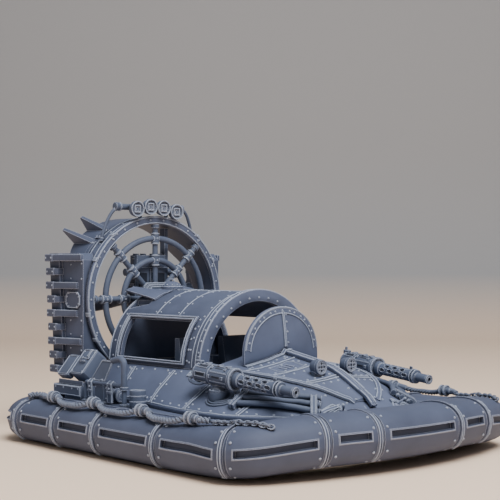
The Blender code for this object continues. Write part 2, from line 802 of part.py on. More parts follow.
def gun(name, side):
    """Receiver drum, perforated shroud and muzzle on a swivel; the origin is on the swivel's axis."""
    n = 20
    body = ((-10.2, 1.3), (-9.6, 2.4), (-8.8, 3.05), (6.2, 3.05), (6.2, 3.5), (7.6, 3.5), (7.6, 2.3),
            (9.0, 2.3), (9.0, 1.95), (23.5, 1.95), (23.5, 2.3), (25.4, 2.3), (25.4, 1.4), (31.0, 1.4),
            (31.0, 0.75), (29.6, 0.75))
    obj = turned(name, body, (GUN_X, side * GUN_Y, GUN_Z), n, "X")
    tilt = Matrix.Rotation(radians(GUN_DROP), 4, "Y")
    toe = Matrix.Rotation(radians(-side * GUN_TOE), 4, "Z")
    obj.data.transform(toe @ tilt)
    stem_turning = ((21.7 - GUN_Z, 2.2), (22.6 - GUN_Z, 2.2), (22.6 - GUN_Z, 1.7), (0.0, 1.7))
    stem = turned("stem", stem_turning, (GUN_X, side * GUN_Y, GUN_Z), 16, "Z")
    combine(obj, [stem])
    return obj


for label, side in (("starboard", -1), ("port", 1)):
    finish(gun_mount("gun_mount_" + label, side), GUN_GREY)
    finish(gun("gun_" + label, side), GUN_GREY)

HOSE_RADIUS = 0.92
HOSE_SPREAD = 0.125


def hoses(name, side):
    """Three hoses side by side, held by a cuff at the rear and a bracket at the front."""
    parts = []
    track = [29.6, 32, 35, 39, 43, 46.5, 49.5]
    for k in range(3):
        points = []
        for x in track:
            frac = 0.36 + 0.22 * (x - 27.5) / 22 + (k - 1) * HOSE_SPREAD
            low = spline(LOWER_EDGE, x)
            cx = chine_x(x)
            top = spline(CHINE_EDGE, cx)
            y = low + (top - low) * frac
            z = side_height(x, y)
            normal = Vector((0.25 if x > 40 else 0.1, 0.55, 0.83)).normalized()
            p = Vector((x, y, z)) + normal * (HOSE_RADIUS + 0.3)
            points.append((p.x, side * p.y, p.z))
        parts.append(pipe(name if k == 0 else "hose", points, HOSE_RADIUS, 8, at=(38, side * 30, 19)))
    for x, size, tall in ((30.2, 3.1, 0.9), (49.1, 3.3, 1.35)):
        low = spline(LOWER_EDGE, x)
        top = spline(CHINE_EDGE, chine_x(x))
        y = low + (top - low) * (0.36 + 0.22 * (x - 27.5) / 22)
        z = side_height(x, y)
        slope = (spline(CHINE_Z, chine_x(x)) - HULL_BASE - HULL_FLANGE) / (low - top)
        along = Vector((0, -1, slope)).normalized()
        out = Vector((0, slope, 1)).normalized()
        centre = Vector((x, y, z)) + out * 1.0
        rings = []
        for dx in (-0.9, 0.9):
            ring = []
            for a, b in ((-size, -0.75), (size, -0.75), (size, tall - 0.6), (size - 0.6, tall),
                         (-size + 0.6, tall), (-size, tall - 0.6)):
                p = centre + Vector((dx, 0, 0)) + along * a + out * b
                ring.append((p.x, side * p.y, p.z))
            rings.append(ring)
        parts.append(loft("cuff", rings))
    return combine(parts[0], parts[1:])


for label, side in (("starboard", -1), ("port", 1)):
    finish(hoses("hoses_" + label, side), KIT_GREY)

def casing_rear(z):
    """Station of the casing's rear edge at height z over the axis; the top runs out into a hood."""
    t = min(max((z - 6.0) / 15.0, 0.0), 1.0)
    return CASING_REAR_LOW + (CASING_REAR_HIGH - CASING_REAR_LOW) * t * t * (3 - 2 * t)


front_x = RIM_X - RIM_DEPTH - GAP


def casing_shift(x, z):
    """Moves the outline's rear corners to the rear edge."""
    return 0.0 if x > -0.5 else casing_rear(z) - front_x + 1.0


casing_section = ((0.0, CASING_OUTER), (-1.0, CASING_OUTER), (-1.0, CASING_INNER), (0.0, CASING_INNER))
casing = ring_body("fan_duct", casing_section, (front_x, 0, FAN_Z), 60, casing_shift)
fins = []
for side in (-1, 1):
    for deg, tall in ((31, 5.4), (45.5, 6.6)):
        a = radians(deg)
        radial = Vector((0, side * sin(a), cos(a)))
        across = Vector((0, side * cos(a), -sin(a)))
        rear = casing_rear(CASING_OUTER * cos(a))
        rings = []
        for w in (-1.0, 1.0):
            ring = []
            for x, r in ((-60.5, CASING_OUTER - 0.8), (rear + 0.3, CASING_OUTER - 0.8),
                         (-74.9, CASING_OUTER + tall - 0.5), (-74.2, CASING_OUTER + tall)):
                thin = 1.0 if r < CASING_OUTER else 0.55
                ring.append(tuple(Vector((x, 0, FAN_Z)) + radial * r + across * (w * thin)))
            rings.append(ring)
        fins.append(loft("fin", rings))
combine(casing, fins)
finish(casing, HULL_GREY)

rim_section = ((0.0, RIM_OUTER), (-RIM_DEPTH, RIM_OUTER), (-RIM_DEPTH, RIM_INNER), (0.0, RIM_INNER))
rim = ring_body("duct_rim", rim_section, (RIM_X, 0, FAN_Z), 60)
finish(rim, PANEL_GREY)

# saddle between the stern tube and the casing
saddle = box("duct_saddle", (-66, -13, TUBE_SIDE_HEIGHT + BAND_RAISE + GAP), (-55, 13, 21))
hollow = turned("hollow", ((-30, CASING_OUTER + GAP), (10, CASING_OUTER + GAP)), (-55, 0, FAN_Z), 60, "X")
combine(saddle, [hollow], "DIFFERENCE")
finish(saddle, HULL_GREY)

# guard
def circle(radius, x, sides):
    pts = []
    for j in range(sides):
        a = 2 * pi * j / sides
        pts.append((x, radius * sin(a), FAN_Z + radius * cos(a)))
    return pts


guard = pipe("fan_guard", circle(GUARD_RINGS[0], GUARD_X, 40), PIPE, 8, True, at=(GUARD_X, 0, FAN_Z))
others = [pipe("ring", circle(GUARD_RINGS[1], GUARD_X, 32), PIPE, 8, True)]
for k in range(8):
    a = radians(45 * k)
    reach = [4.0]
    for ring_radius in (GUARD_RINGS[1], GUARD_RINGS[0]):
        reach = reach + [ring_radius - 1.9, ring_radius - 1.88, ring_radius + 1.88, ring_radius + 1.9]
    reach.append(RIM_INNER - 0.25)
    size = [SPOKE, SPOKE, COLLAR, COLLAR, SPOKE, SPOKE, COLLAR, COLLAR, SPOKE, SPOKE]
    points = [(GUARD_X, r * sin(a), FAN_Z + r * cos(a)) for r in reach]
    others.append(pipe("spoke", points, size, 8))
rings = []
for x, reach, flat in ((-1.3, 5.8, 4.4), (1.1, 5.8, 4.4), (1.11, 4.6, 3.4), (2.4, 4.6, 3.4)):
    corners = ((flat, reach), (reach, flat), (reach, -flat), (flat, -reach), (-flat, -reach), (-reach, -flat),
               (-reach, flat), (-flat, reach))
    rings.append([(GUARD_X + x, y, FAN_Z + z) for y, z in corners])
others.append(loft("hub", rings))
combine(guard, others)
finish(guard, GUN_GREY)

# engine on struts inside the duct
engine = box("engine", (-60.2, -7.4, 33.0), (-55.2, 7.4, 57.5), at=(-58, 0, FAN_Z))
extras = [box("head", (-59.8, -6.4, 57.0), (-55.6, 6.4, 62.0))]
for side in (-1, 1):
    extras.append(turned("knob", ((6.8 * side, 1.4), (10.2 * side, 1.4)), (-57.8, 0, 55.8), 12, "Y"))
    reach = CASING_INNER - 0.35
    ends = sorted((6.0 * side, reach * side))
    extras.append(box("strut", (-59.4, ends[0], 45.4), (-56.6, ends[1], 47.2)))
extras.append(box("foot", (-59.4, -2.6, FAN_Z - CASING_INNER + 0.5), (-56.4, 2.6, 34.0)))
post_top = FAN_Z + sqrt((CASING_INNER - 0.3) ** 2 - 8.5 ** 2)
extras.append(box("post", (-59.4, 6.9, 50.0), (-56.6, 8.5, post_top)))
combine(engine, extras)
finish(engine, GUN_GREY)

# propeller, turning about the duct's axis
spinner = ((-3.0, 0.9), (-2.2, 2.2), (-0.8, 3.2), (1.6, 3.2), (1.6, 1.5), (2.6, 1.5))
prop = turned("propeller", spinner, (FAN_X, 0, FAN_Z), 20, "X")
blades = []
for k in range(2):
    a = radians(180 * k + 82)
    radial = Vector((0, sin(a), cos(a)))
    across = Vector((0, cos(a), -sin(a)))
    rings = []
    for i in range(6):
        t = i / 5
        r = 2.4 + (FAN_RADIUS - 2.4) * t
        chord = 2.0 + 0.8 * sin(pi * min(t * 0.8 + 0.15, 1.0))
        pitch = radians(48 - 16 * t)
        along = across * cos(pitch) + Vector((1, 0, 0)) * sin(pitch)
        normal = across * -sin(pitch) + Vector((1, 0, 0)) * cos(pitch)
        ring = []
        for u, w in ((-1, 0.0), (-0.3, 0.42), (0.7, 0.30), (1, 0.0), (0.7, -0.30), (-0.3, -0.30)):
            ring.append(tuple(Vector((FAN_X, 0, FAN_Z)) + radial * r + along * (u * chord) + normal * w))
        rings.append(ring)
    blades.append(loft("blade", rings))
combine(prop, blades)
finish(prop, GUN_GREY)

RACK_TOP = 61.0
RACK_PITCH = 4.9
RACK_REACH = (-54.2, 0.0, -57.0, 0.0, -57.0, 0.0, -54.8, 0.0, 0.0)


def fin_rack(name, side):
    """A cheek beside the casing, the leaning column on its rear edge and nine ribs, some of them long."""
    low = RACK_TOP - RACK_PITCH * (len(RACK_REACH) - 1) - 1.6
    high = RACK_TOP + 1.6

    def column_x(z):
        return -66.6 - 3.3 * (z - low) / (high - low)

    rings = []
    for y in (22.0, 30.7):
        rings.append([(-53.9, side * y, low), (-53.9, side * y, high - 2.4), (-56.6, side * y, high),
                      (column_x(high), side * y, high), (column_x(low), side * y, low)])
    cheek = loft(name, rings, at=(-62, side * 30, 41))
    bore = turned("bore", ((-40, CASING_OUTER + GAP), (10, CASING_OUTER + GAP)), (-50, 0, FAN_Z), 60, "X")
    combine(cheek, [bore], "DIFFERENCE")
    rings = []
    for z in (low, high):
        x = column_x(z)
        rings.append([(x - 3.8, side * 30.0, z), (x + 2.4, side * 30.0, z), (x + 2.4, side * 32.0, z),
                      (x - 3.8, side * 32.0, z)])
    parts = [loft("column", rings)]
    for i, reach in enumerate(RACK_REACH):
        z = RACK_TOP - RACK_PITCH * i
        x = column_x(z)
        if reach == 0.0:
            plan = ((x - 4.6, 30.4), (x - 4.6, 33.0), (x - 3.8, 33.8), (x + 2.0, 33.8), (x + 2.9, 33.0),
                    (x + 2.9, 30.4))
        else:
            plan = ((x - 4.8, 30.4), (x - 4.8, 32.8), (x - 3.6, 34.2), (x + 2.2, 34.2), (reach, 31.5),
                    (reach, 30.4))
        rings = []
        for thick in (-1.1, 1.1):
            rings.append([(px, side * py, z + thick) for px, py in plan])
        parts.append(loft("rib", rings))
    return combine(cheek, parts)


for label, side in (("starboard", -1), ("port", 1)):
    finish(fin_rack("fin_rack_" + label, side), HULL_GREY, 25)

# lamp bar on top of the duct
BAR_X = -54.2
BAR_Z = 79.3
BAR_START = -17.2
BAR_END = 13.4
bar = pipe("lamp_bar", [(BAR_X, y, BAR_Z) for y in (BAR_START, BAR_START + 2.2, BAR_START + 2.21, BAR_END)],
           [1.45, 1.45, 1.05, 1.05], 10, at=(BAR_X, 0, BAR_Z))
tools = []
for y0, y1, drop in ((-15.4, -21.8, 11.2), (12.9, 19.0, 8.4)):
    pts = []
    for i in range(7):
        t = i / 6
        pts.append((BAR_X - 1.8 * t, y0 + (y1 - y0) * t ** 0.8, 78.8 - drop * t ** 1.7))
    x, y, z = pts[-1]
    scale = (CASING_OUTER + 0.75) / hypot(y, z - FAN_Z)
    pts[-1] = (x, y * scale, FAN_Z + (z - FAN_Z) * scale)
    tools.append(pipe("tube", pts, 0.55, 6))
for side in (-1, 1):
    foot = FAN_Z + sqrt(CASING_OUTER ** 2 - 5.2 ** 2) + 0.3
    tools.append(pipe("post", [(BAR_X - 0.3, side * 5.9, BAR_Z), (BAR_X - 0.3, side * 5.9, foot)], 0.7, 6))
combine(bar, tools)
finish(bar, GUN_GREY)
for i, (y, z) in enumerate(((-10.0, 78.5), (-4.1, 79.4), (1.8, 79.1), (7.7, 77.9))):
    turning = ((-1.2, 1.4), (-0.6, 2.5), (0.4, 2.8), (1.9, 2.8), (1.9, 2.25), (1.3, 2.25))
    lamp = turned("bar_lamp_" + str(i + 1), turning, (BAR_X + 1.05 + GAP + 1.2, y, z), 18, "X")
    finish(lamp, GUN_GREY)


ROPE_RADIUS = 0.75
ROPE_CLAMPS = (-33.5, -10.7, 14.2, 37.3)
CLAMP_STAND = 2.1
ROPE_STAND = 1.45
CLAMP_TURNING = ((-2.2, 0.75), (-2.15, 1.85), (-1.35, 1.85), (-1.3, 1.4), (-0.2, 1.4), (-0.15, 1.85),
                 (0.65, 1.85), (0.7, 1.2), (2.1, 1.2), (2.15, 0.75))


def tube_shoulder(y, stand):
    """(y, z) at `stand` off the side tube's upper outer face, over its point at y."""
    half = TUBE_SIDE_HEIGHT / 2
    middle = HALF_WIDTH - TUBE_HALF_WIDTH

    def top(at):
        return half * (1 + (1 - ((at - middle) / TUBE_HALF_WIDTH) ** 2.3) ** (1 / 2.3))

    slope = (top(y + 0.1) - top(y - 0.1)) / 0.2
    length = hypot(1.0, slope)
    return y - stand * slope / length, top(y) + stand / length


def grab_rope(name, side):
    """A rope along the tube's outer shoulder, sagging between four flanged clamps, with a loop at the stern."""
    points = []
    radii = []

    def put(x, y, stand, r):
        at_y, at_z = tube_shoulder(y, stand)
        points.append((x, side * at_y, at_z))
        radii.append(r)

    for i in range(6):
        a = radians(200 - 33 * i)
        put(-44.7 + 3.8 * cos(a), 54.4 - 1.9 * sin(a), ROPE_STAND, ROPE_RADIUS)
    put(-38.7, 54.0, 1.7, ROPE_RADIUS)
    for c, cx in enumerate(ROPE_CLAMPS):
        for dx, r in CLAMP_TURNING:
            put(cx + dx, 54.3, CLAMP_STAND, r)
        if c < len(ROPE_CLAMPS) - 1:
            nx = ROPE_CLAMPS[c + 1]
            for t in (0.12, 0.3, 0.5, 0.7, 0.88):
                x = cx + 2.2 + (nx - cx - 4.4) * t
                drop = min(sin(pi * t) / 0.6, 1.0)
                put(x, 54.3 + 1.8 * drop, CLAMP_STAND + (ROPE_STAND - CLAMP_STAND) * drop, ROPE_RADIUS)
    put(40.9, 53.8, 1.8, ROPE_RADIUS)
    put(42.8, 53.0, 1.6, ROPE_RADIUS)
    return pipe(name, points, radii, 8, at=(0, side * 56, 16))


for label, side in (("starboard", -1), ("port", 1)):
    finish(grab_rope("grab_rope_" + label, side), KIT_GREY, 40)

POST_X = -15.3


def railing(name, side):
    """A tall post bent to the stern at its top, and a low rail on two legs."""
    floor = DECK_TOP + GAP
    y = side * 40.6
    line = [(POST_X, y, floor), (POST_X, y, 19.0), (POST_X, y, 19.01), (POST_X, y, 26.4),
            (POST_X - 0.5, y, 27.7), (POST_X - 1.7, y, 28.4), (POST_X - 6.4, y, 27.6)]
    post = pipe(name, line, [0.8, 0.8, 1.05, 1.05, 1.05, 1.05, 1.05], 8, at=(POST_X, y, floor))
    parts = [pipe("rail", [(-37.2, y, floor), (-37.2, y, 18.9), (-36.4, y, 19.8), (POST_X, y, 19.8)], 0.7, 8),
             pipe("rail", [(-26.4, y, floor), (-26.4, y, 19.8)], 0.6, 6)]
    return combine(post, parts)


for label, side in (("starboard", -1), ("port", 1)):
    finish(railing("railing_" + label, side), GUN_GREY)

floor = DECK_TOP + GAP
crate = box("stowage_box", (-49.4, -41.0, floor), (-39.6, -34.2, floor + 4.4))
ledge = box("ledge", (-56.2, -41.0, 16.2), (-49.0, -34.2, floor + 4.4))
combine(crate, [ledge])
finish(crate, KIT_GREY, 25)

# two cases that lean from the box towards the hull's flared side; the rear one is thinner, beside the cheek
CASE_FOOT = (-38.3, floor + 4.4 + 0.35)
CASE_LEAN = radians(50)
CASE_DEEP = 5.0
THIN_DEEP = 2.4


def leaning(name, rows, low, high, deep):
    """A leaning block: (x, margin) rows between two heights along the lean, `deep` behind its outer face."""
    rings = []
    for x, margin in rows:
        ring = []
        for along, back in ((low + margin, 0.0), (high - margin, 0.0), (high - margin, deep),
                            (low + margin, deep)):
            y = CASE_FOOT[0] + along * cos(CASE_LEAN) + back * sin(CASE_LEAN)
            z = CASE_FOOT[1] + along * sin(CASE_LEAN) + (CASE_DEEP - back) * cos(CASE_LEAN)
            ring.append((x, y, z))
        rings.append(ring)
    return loft(name, rings, at=(-50, -35, floor))


case = leaning("stowage_case", ((-51.2, 0.9), (-50.3, 0.0), (-43.9, 0.0), (-43.0, 0.9)), 0.0, 10.4, CASE_DEEP)
thin_rows = ((-58.0, 0.9), (-57.1, 0.0), (-51.9, 0.0), (-51.0, 0.4))
thin_case = leaning("thin_case", thin_rows, -1.0, 7.6, THIN_DEEP)
combine(case, [thin_case])
finish(case, KIT_GREY, 25)
drum = turned("stowage_drum", ((0.0, 2.5), (0.5, 2.7), (5.0, 2.7), (5.5, 2.5)), (-9.4, -39.6, floor), 20, "Z")
finish(drum, KIT_GREY)
roll_turning = ((-5.0, 1.7), (-4.7, 2.3), (4.7, 2.3), (5.0, 1.7))
roll = turned("bedroll", roll_turning, (-27.0, -36.8, floor + 2.35), 16, "X")
finish(roll, KIT_GREY)
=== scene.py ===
"""Looks of a tabletop model hovercraft cast in one blue-grey resin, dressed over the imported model.

Lengths are in millimetres in the frame of the model: +X to the bow, +Y to port, +Z up, z 0 on the table.
A spot is a (point, normal) pair on a surface, or None where a ray meets nothing.
"""
import bmesh
import bpy
from math import acos, cos, pi, radians, sin, sqrt
from mathutils import Matrix, Vector
from mathutils.bvhtree import BVHTree
import json


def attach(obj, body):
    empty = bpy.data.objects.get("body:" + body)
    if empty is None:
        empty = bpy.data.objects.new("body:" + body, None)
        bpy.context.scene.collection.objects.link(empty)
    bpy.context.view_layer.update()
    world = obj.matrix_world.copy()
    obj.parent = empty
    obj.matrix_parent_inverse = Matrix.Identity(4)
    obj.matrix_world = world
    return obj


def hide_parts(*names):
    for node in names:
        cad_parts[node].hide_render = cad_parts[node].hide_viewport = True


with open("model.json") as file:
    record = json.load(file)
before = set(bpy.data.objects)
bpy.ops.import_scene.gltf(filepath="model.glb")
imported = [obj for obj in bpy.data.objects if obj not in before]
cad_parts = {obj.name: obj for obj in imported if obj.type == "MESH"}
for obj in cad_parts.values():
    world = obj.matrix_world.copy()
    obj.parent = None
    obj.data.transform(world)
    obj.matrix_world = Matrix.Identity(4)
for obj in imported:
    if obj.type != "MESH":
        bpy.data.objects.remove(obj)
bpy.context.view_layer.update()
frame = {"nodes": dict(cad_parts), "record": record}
NODES = frame["nodes"]
MM = 0.001
# corners nearer to each other than this are welded
WELD = 0.0005
# where the rays that look down on the model start
HIGH = 60.0
UP = Vector((0, 0, 1))
DOWN = Vector((0, 0, -1))
AHEAD = Vector((1, 0, 0))
ASTERN = Vector((-1, 0, 0))
PORTWARD = Vector((0, 1, 0))
SIDES = (("starboard", -1), ("port", 1))

# Finishes


def add_node(tree, kind, inputs=None, **settings):
    """A new node with its settings and the values of its inputs."""
    node = tree.nodes.new(kind)
    for name, value in settings.items():
        setattr(node, name, value)
    for name, value in (inputs or {}).items():
        node.inputs[name].default_value = value
    return node


def wire(tree, *links):
    """Makes the links, each given as node, output, node, input."""
    for source, output, target, entry in links:
        tree.links.new(source.outputs[output], target.inputs[entry])


def new_group(name, inputs, outputs, kind="ShaderNodeTree", socket="NodeSocketFloat"):
    """A node group with its sockets, and its input and output nodes."""
    group = bpy.data.node_groups.new(name, kind)
    for label, value in inputs.items():
        made = group.interface.new_socket(label, in_out="INPUT", socket_type=socket)
        if value is not None:
            made.default_value = value
    for label in outputs:
        group.interface.new_socket(label, in_out="OUTPUT", socket_type=socket)
    return group, add_node(group, "NodeGroupInput"), add_node(group, "NodeGroupOutput")


def painted_edge_highlight_group():
    """Mask of sharp outer edges, where a lighter tone is mixed in as a painted highlight."""
    group, start, end = new_group("painted_edge_highlight", {"Reach": 0.0003}, ("Mask",))
    round_off = add_node(group, "ShaderNodeBevel", samples=6)
    surface = add_node(group, "ShaderNodeNewGeometry")
    dot = add_node(group, "ShaderNodeVectorMath", operation="DOT_PRODUCT")
    reach = add_node(group, "ShaderNodeMapRange", {"From Min": 0.999, "From Max": 0.93})
    wire(group, (start, "Reach", round_off, "Radius"), (round_off, "Normal", dot, 0), (surface, "Normal", dot, 1),
         (dot, "Value", reach, "Value"), (reach, "Result", end, "Mask"))
    return group


def recess_shade_group():
    """Mask of hollows and seams, where the tone is darkened as painted shade."""
    group, start, end = new_group("recess_painted_shade", {"Depth": 0.0015}, ("Mask",))
    hollow = add_node(group, "ShaderNodeAmbientOcclusion", samples=8)
    spread = add_node(group, "ShaderNodeMapRange", {"From Min": 0.92, "From Max": 0.35})
    wire(group, (start, "Depth", hollow, "Distance"), (hollow, "AO", spread, "Value"),
         (spread, "Result", end, "Mask"))
    return group


def cast_grain_group():
    """Cloudy tint and the fine tooth of cast resin."""
    group, start, end = new_group("cast_grain", {"Cloud Size": 70.0, "Tooth Size": 2200.0}, ("Cloud", "Tooth"))
    place = add_node(group, "ShaderNodeTexCoord")
    cloud = add_node(group, "ShaderNodeTexNoise", {"Detail": 4.0, "Roughness": 0.62})
    tooth = add_node(group, "ShaderNodeTexNoise", {"Detail": 3.0})
    for label, noise in (("Cloud", cloud), ("Tooth", tooth)):
        wire(group, (place, "Object", noise, "Vector"), (start, label + " Size", noise, "Scale"),
             (noise, "Fac", end, label))
    return group


# masks for the painted highlight on sharp edges and the painted shade in hollows, and the resin's grain
PAINTED_EDGE_HIGHLIGHT = painted_edge_highlight_group()
RECESS_SHADE = recess_shade_group()
CAST_GRAIN = cast_grain_group()


def shade(tone, gain, lift=0.0):
    """A tone made stronger or weaker, as a colour."""
    return (*[c * gain + lift for c in tone], 1.0)


def resin(name, tone, rough, edge=0.9, painted_shade=0.55, tooth=0.25):
    """Cast resin in one tone: cloudy tint, a painted highlight on sharp edges, painted shade in hollows and a
    fine tooth.
    """
    mat = bpy.data.materials.new(name)
    mat.use_nodes = True
    mat.diffuse_color = (*tone, 1.0)
    tree = mat.node_tree
    shader = tree.nodes["Principled BSDF"]
    shader.inputs["Specular IOR Level"].default_value = 0.22
    grain, highlight_mask, hollow = (add_node(tree, "ShaderNodeGroup", node_tree=group)
                                 for group in (CAST_GRAIN, PAINTED_EDGE_HIGHLIGHT, RECESS_SHADE))
    tint = add_node(tree, "ShaderNodeValToRGB")
    for stop, position, gain in zip(tint.color_ramp.elements, (0.3, 0.72), (0.86, 1.14)):
        stop.position = position
        stop.color = shade(tone, gain)
    # painted shade: the tone darkened in hollows by the recess mask
    shaded_tone = add_node(tree, "ShaderNodeMix", {"B": shade(tone, 1.0 - painted_shade)}, data_type="RGBA")
    # painted highlight: a lighter tone mixed in on sharp edges
    share = add_node(tree, "ShaderNodeMath", {1: edge}, operation="MULTIPLY")
    highlit = add_node(tree, "ShaderNodeMix", {"B": shade(tone, 1.8, 0.24)}, data_type="RGBA")
    gloss = add_node(tree, "ShaderNodeMapRange",
                     {"From Min": 0.3, "From Max": 0.7, "To Min": rough - 0.06, "To Max": rough + 0.07})
    bump = add_node(tree, "ShaderNodeBump", {"Strength": tooth, "Distance": 0.00004})
    wire(tree, (grain, "Cloud", tint, "Fac"), (hollow, "Mask", shaded_tone, "Factor"), (tint, "Color", shaded_tone, "A"),
         (highlight_mask, "Mask", share, 0), (share, "Value", highlit, "Factor"), (shaded_tone, "Result", highlit, "A"),
         (highlit, "Result", shader, "Base Color"), (grain, "Cloud", gloss, "Value"),
         (gloss, "Result", shader, "Roughness"), (grain, "Tooth", bump, "Height"),
         (bump, "Normal", shader, "Normal"))
    return mat


# the tones differ from part to part as painted light: the skirt's darker tone is painted shade for its shaded
# sides, and the lighter panel tone, which the hull takes too, is painted light on the hull and foredeck
SKIRT_RESIN = resin("skirt_resin", (0.078, 0.094, 0.150), 0.58, 0.8)
HULL_RESIN = resin("hull_resin", (0.086, 0.104, 0.164), 0.60)
PANEL_RESIN = resin("panel_resin", (0.106, 0.128, 0.202), 0.56)
FITTING_RESIN = resin("fitting_resin", (0.100, 0.124, 0.188), 0.54, 0.9, 0.65)
KIT_RESIN = resin("kit_resin", (0.100, 0.123, 0.186), 0.64, 0.9, 0.65, tooth=0.4)
ROPE_RESIN = resin("rope_resin", (0.110, 0.134, 0.198), 0.66, 0.7, 0.75, tooth=0.5)
# light resins for rivets, beads and edge lines: painted highlight where edges catch the light
HIGHLIGHT_RESIN = resin("highlight_resin", (0.225, 0.262, 0.350), 0.56, 0.6, 0.5)
FAINT_HIGHLIGHT_RESIN = resin("faint_highlight_resin", (0.150, 0.176, 0.245), 0.56, 0.6, 0.5)
# a near-black resin for the insides of ports, slots and lamps and for the engine's face: painted shade
SHADE_RESIN = resin("painted_shade_resin", (0.026, 0.032, 0.050), 0.7, 0.2, 0.5)

# Making pieces


def meshes(count):
    """New empty bmeshes."""
    return [bmesh.new() for k in range(count)]


def to_object(name, bm, crease=None):
    """Turns a bmesh in millimetres into a smooth object; edges bent past the crease angle stay sharp."""
    bmesh.ops.recalc_face_normals(bm, faces=bm.faces[:])
    bmesh.ops.scale(bm, vec=(MM, MM, MM), verts=bm.verts[:])
    for face in bm.faces:
        face.smooth = True
    if crease:
        for edge in bm.edges:
            edge.smooth = len(edge.link_faces) == 2 and edge.calc_face_angle(0.0) < radians(crease)
    mesh = bpy.data.meshes.new(name)
    bm.to_mesh(mesh)
    bm.free()
    obj = bpy.data.objects.new(name, mesh)
    bpy.context.scene.collection.objects.link(obj)
    return obj


def piece(name, bm, finish, body="hull_body", stands_for=(), crease=32.0):
    """Turns a bmesh into a finished piece that rides on a body."""
    bmesh.ops.remove_doubles(bm, verts=bm.verts[:], dist=WELD)
    obj = to_object(name, bm, crease)
    obj.data.materials.append(finish)
    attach(obj, body)
    if stands_for:
        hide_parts(*stands_for)


def skin(bm, rings, loop=False):
    """Covers a row of matching closed rings; loop joins the last to the first, else the ends are closed."""
    around = len(rings[0])
    along = len(rings)
    rows = along if loop else along - 1
    verts = bmesh.ops.create_grid(bm, x_segments=around, y_segments=rows, size=1.0)["verts"]
    for i, vert in enumerate(verts):
        row, column = divmod(i, around + 1)
        vert.co = rings[row % along][column % around]
    bmesh.ops.remove_doubles(bm, verts=verts, dist=WELD)
    if not loop:
        bmesh.ops.holes_fill(bm, edges=[e for e in bm.edges if e.is_boundary], sides=0)


def lathe(bm, profile, place, steps, open_ends=False):
    """Spins a profile of (along, radius) points round the X axis of `place`."""
    spots = [bm.verts.new((x, 0.0, r)) for x, r in profile]
    lines = [bm.edges.new(pair) for pair in zip(spots, spots[1:])]
    if not open_ends:
        for end in (0, -1):
            if profile[end][1] > 0.001:
                hub = bm.verts.new((profile[end][0], 0.0, 0.0))
                lines.append(bm.edges.new((spots[end], hub)))
                spots = spots + [hub] if end == -1 else [hub] + spots
    before = set(bm.verts) - set(spots)
    bmesh.ops.spin(bm, geom=spots + lines, cent=(0, 0, 0), axis=AHEAD, angle=2 * pi, steps=steps, use_merge=True)
    bmesh.ops.remove_doubles(bm, verts=[v for v in bm.verts if v not in before], dist=WELD)
    bmesh.ops.transform(bm, matrix=place, verts=[v for v in bm.verts if v not in before])


def block(bm, low, high, place, chamfer):
    """A chamfered block between two corners of `place`."""
    low = Vector(low)
    high = Vector(high)
    made = bmesh.ops.create_cube(bm, size=1.0)["verts"]
    bmesh.ops.scale(bm, vec=high - low, verts=made)
    bmesh.ops.translate(bm, vec=(low + high) / 2, verts=made)
    edges = list({e for v in made for e in v.link_edges})
    made = bmesh.ops.bevel(bm, geom=edges, offset=chamfer, segments=1, profile=0.5, affect="EDGES",
                           material=-1)["verts"]
    bmesh.ops.transform(bm, matrix=place, verts=made)


def axes(at, along, up):
    """Matrix at a point with X along and Z near up."""
    x = Vector(along).normalized()
    z = Vector(up) - x * x.dot(Vector(up))
    z.normalize()
    y = z.cross(x)
    return Matrix.Translation(at) @ Matrix((x, y, z)).transposed().to_4x4()


def upright(x, y, z=0.0):
    """Matrix at a point with X straight up."""
    return Matrix.Translation((x, y, z)) @ Matrix.Rotation(radians(-90), 4, "Y")


def rivet(bm, spot, radius, rise):
    """A low dome on a spot, sunk a little into what carries it."""
    if spot:
        at = spot[0]
        up = Vector(spot[1])
        made = bmesh.ops.create_uvsphere(bm, u_segments=8, v_segments=4, radius=1.0)["verts"]
        across = up.cross(UP if abs(up.z) < 0.9 else AHEAD)
        place = axes(at, across, up) @ Matrix.Diagonal((radius, radius, rise, 1.0))
        bmesh.ops.transform(bm, matrix=place, verts=made)


def neighbours(row, i, loop):
    """The entries before and after row[i]; an open row stops at its ends."""
    last = len(row) - 1
    return row[i - 1 if loop or i else 0], row[(i + 1) % len(row) if loop or i < last else last]


def swept(points, ups, profile, loop=False, twist=0.0):
    """Rings of a (side, up) profile carried along points that each have an up direction."""
    rings = []
    turn = 0.0
    for i, p in enumerate(points):
        a, b = neighbours(points, i, loop)
        ahead = (b - a).normalized()
        side = ahead.cross(Vector(ups[i])).normalized()
        up = side.cross(ahead)
        if i:
            turn += twist * (p - points[i - 1]).length
        c = cos(turn)
        s = sin(turn)
        rings.append([p + side * (u * c - w * s) + up * (u * s + w * c) for u, w in profile])
    return rings


def strip(bm, spots, width, rise, loop=False, lines=None):
    """A raised band with chamfered edges over spots; `lines` takes a bead for each long edge."""
    spots = [spot for spot in spots if spot]
    if lines is not None:
        for hand in (-1, 1):
            shifted = []
            for i, (at, up) in enumerate(spots):
                a, b = neighbours(spots, i, loop)
                side = (b[0] - a[0]).cross(up).normalized()
                shifted.append((at + side * hand * (width / 2 - 0.16), up))
            strip(lines, shifted, 0.36, rise + 0.07, loop)
    w = width / 2
    c = min(0.14, rise * 0.6, w * 0.6)
    profile = ((-w, -0.3), (-w, rise - c), (-w + c, rise), (w - c, rise), (w, rise - c), (w, -0.3))
    skin(bm, swept([at for at, up in spots], [up for at, up in spots], profile, loop), loop)


def round_profile(radius, sides, lobes=0):
    """Points of a circle, or with lobes of a laid rope's section."""
    points = []
    for j in range(sides):
        a = 2 * pi * j / sides
        r = radius * (0.62 + 0.38 * abs(cos(lobes * a / 2)))
        points.append((r * cos(a), r * sin(a)))
    return points


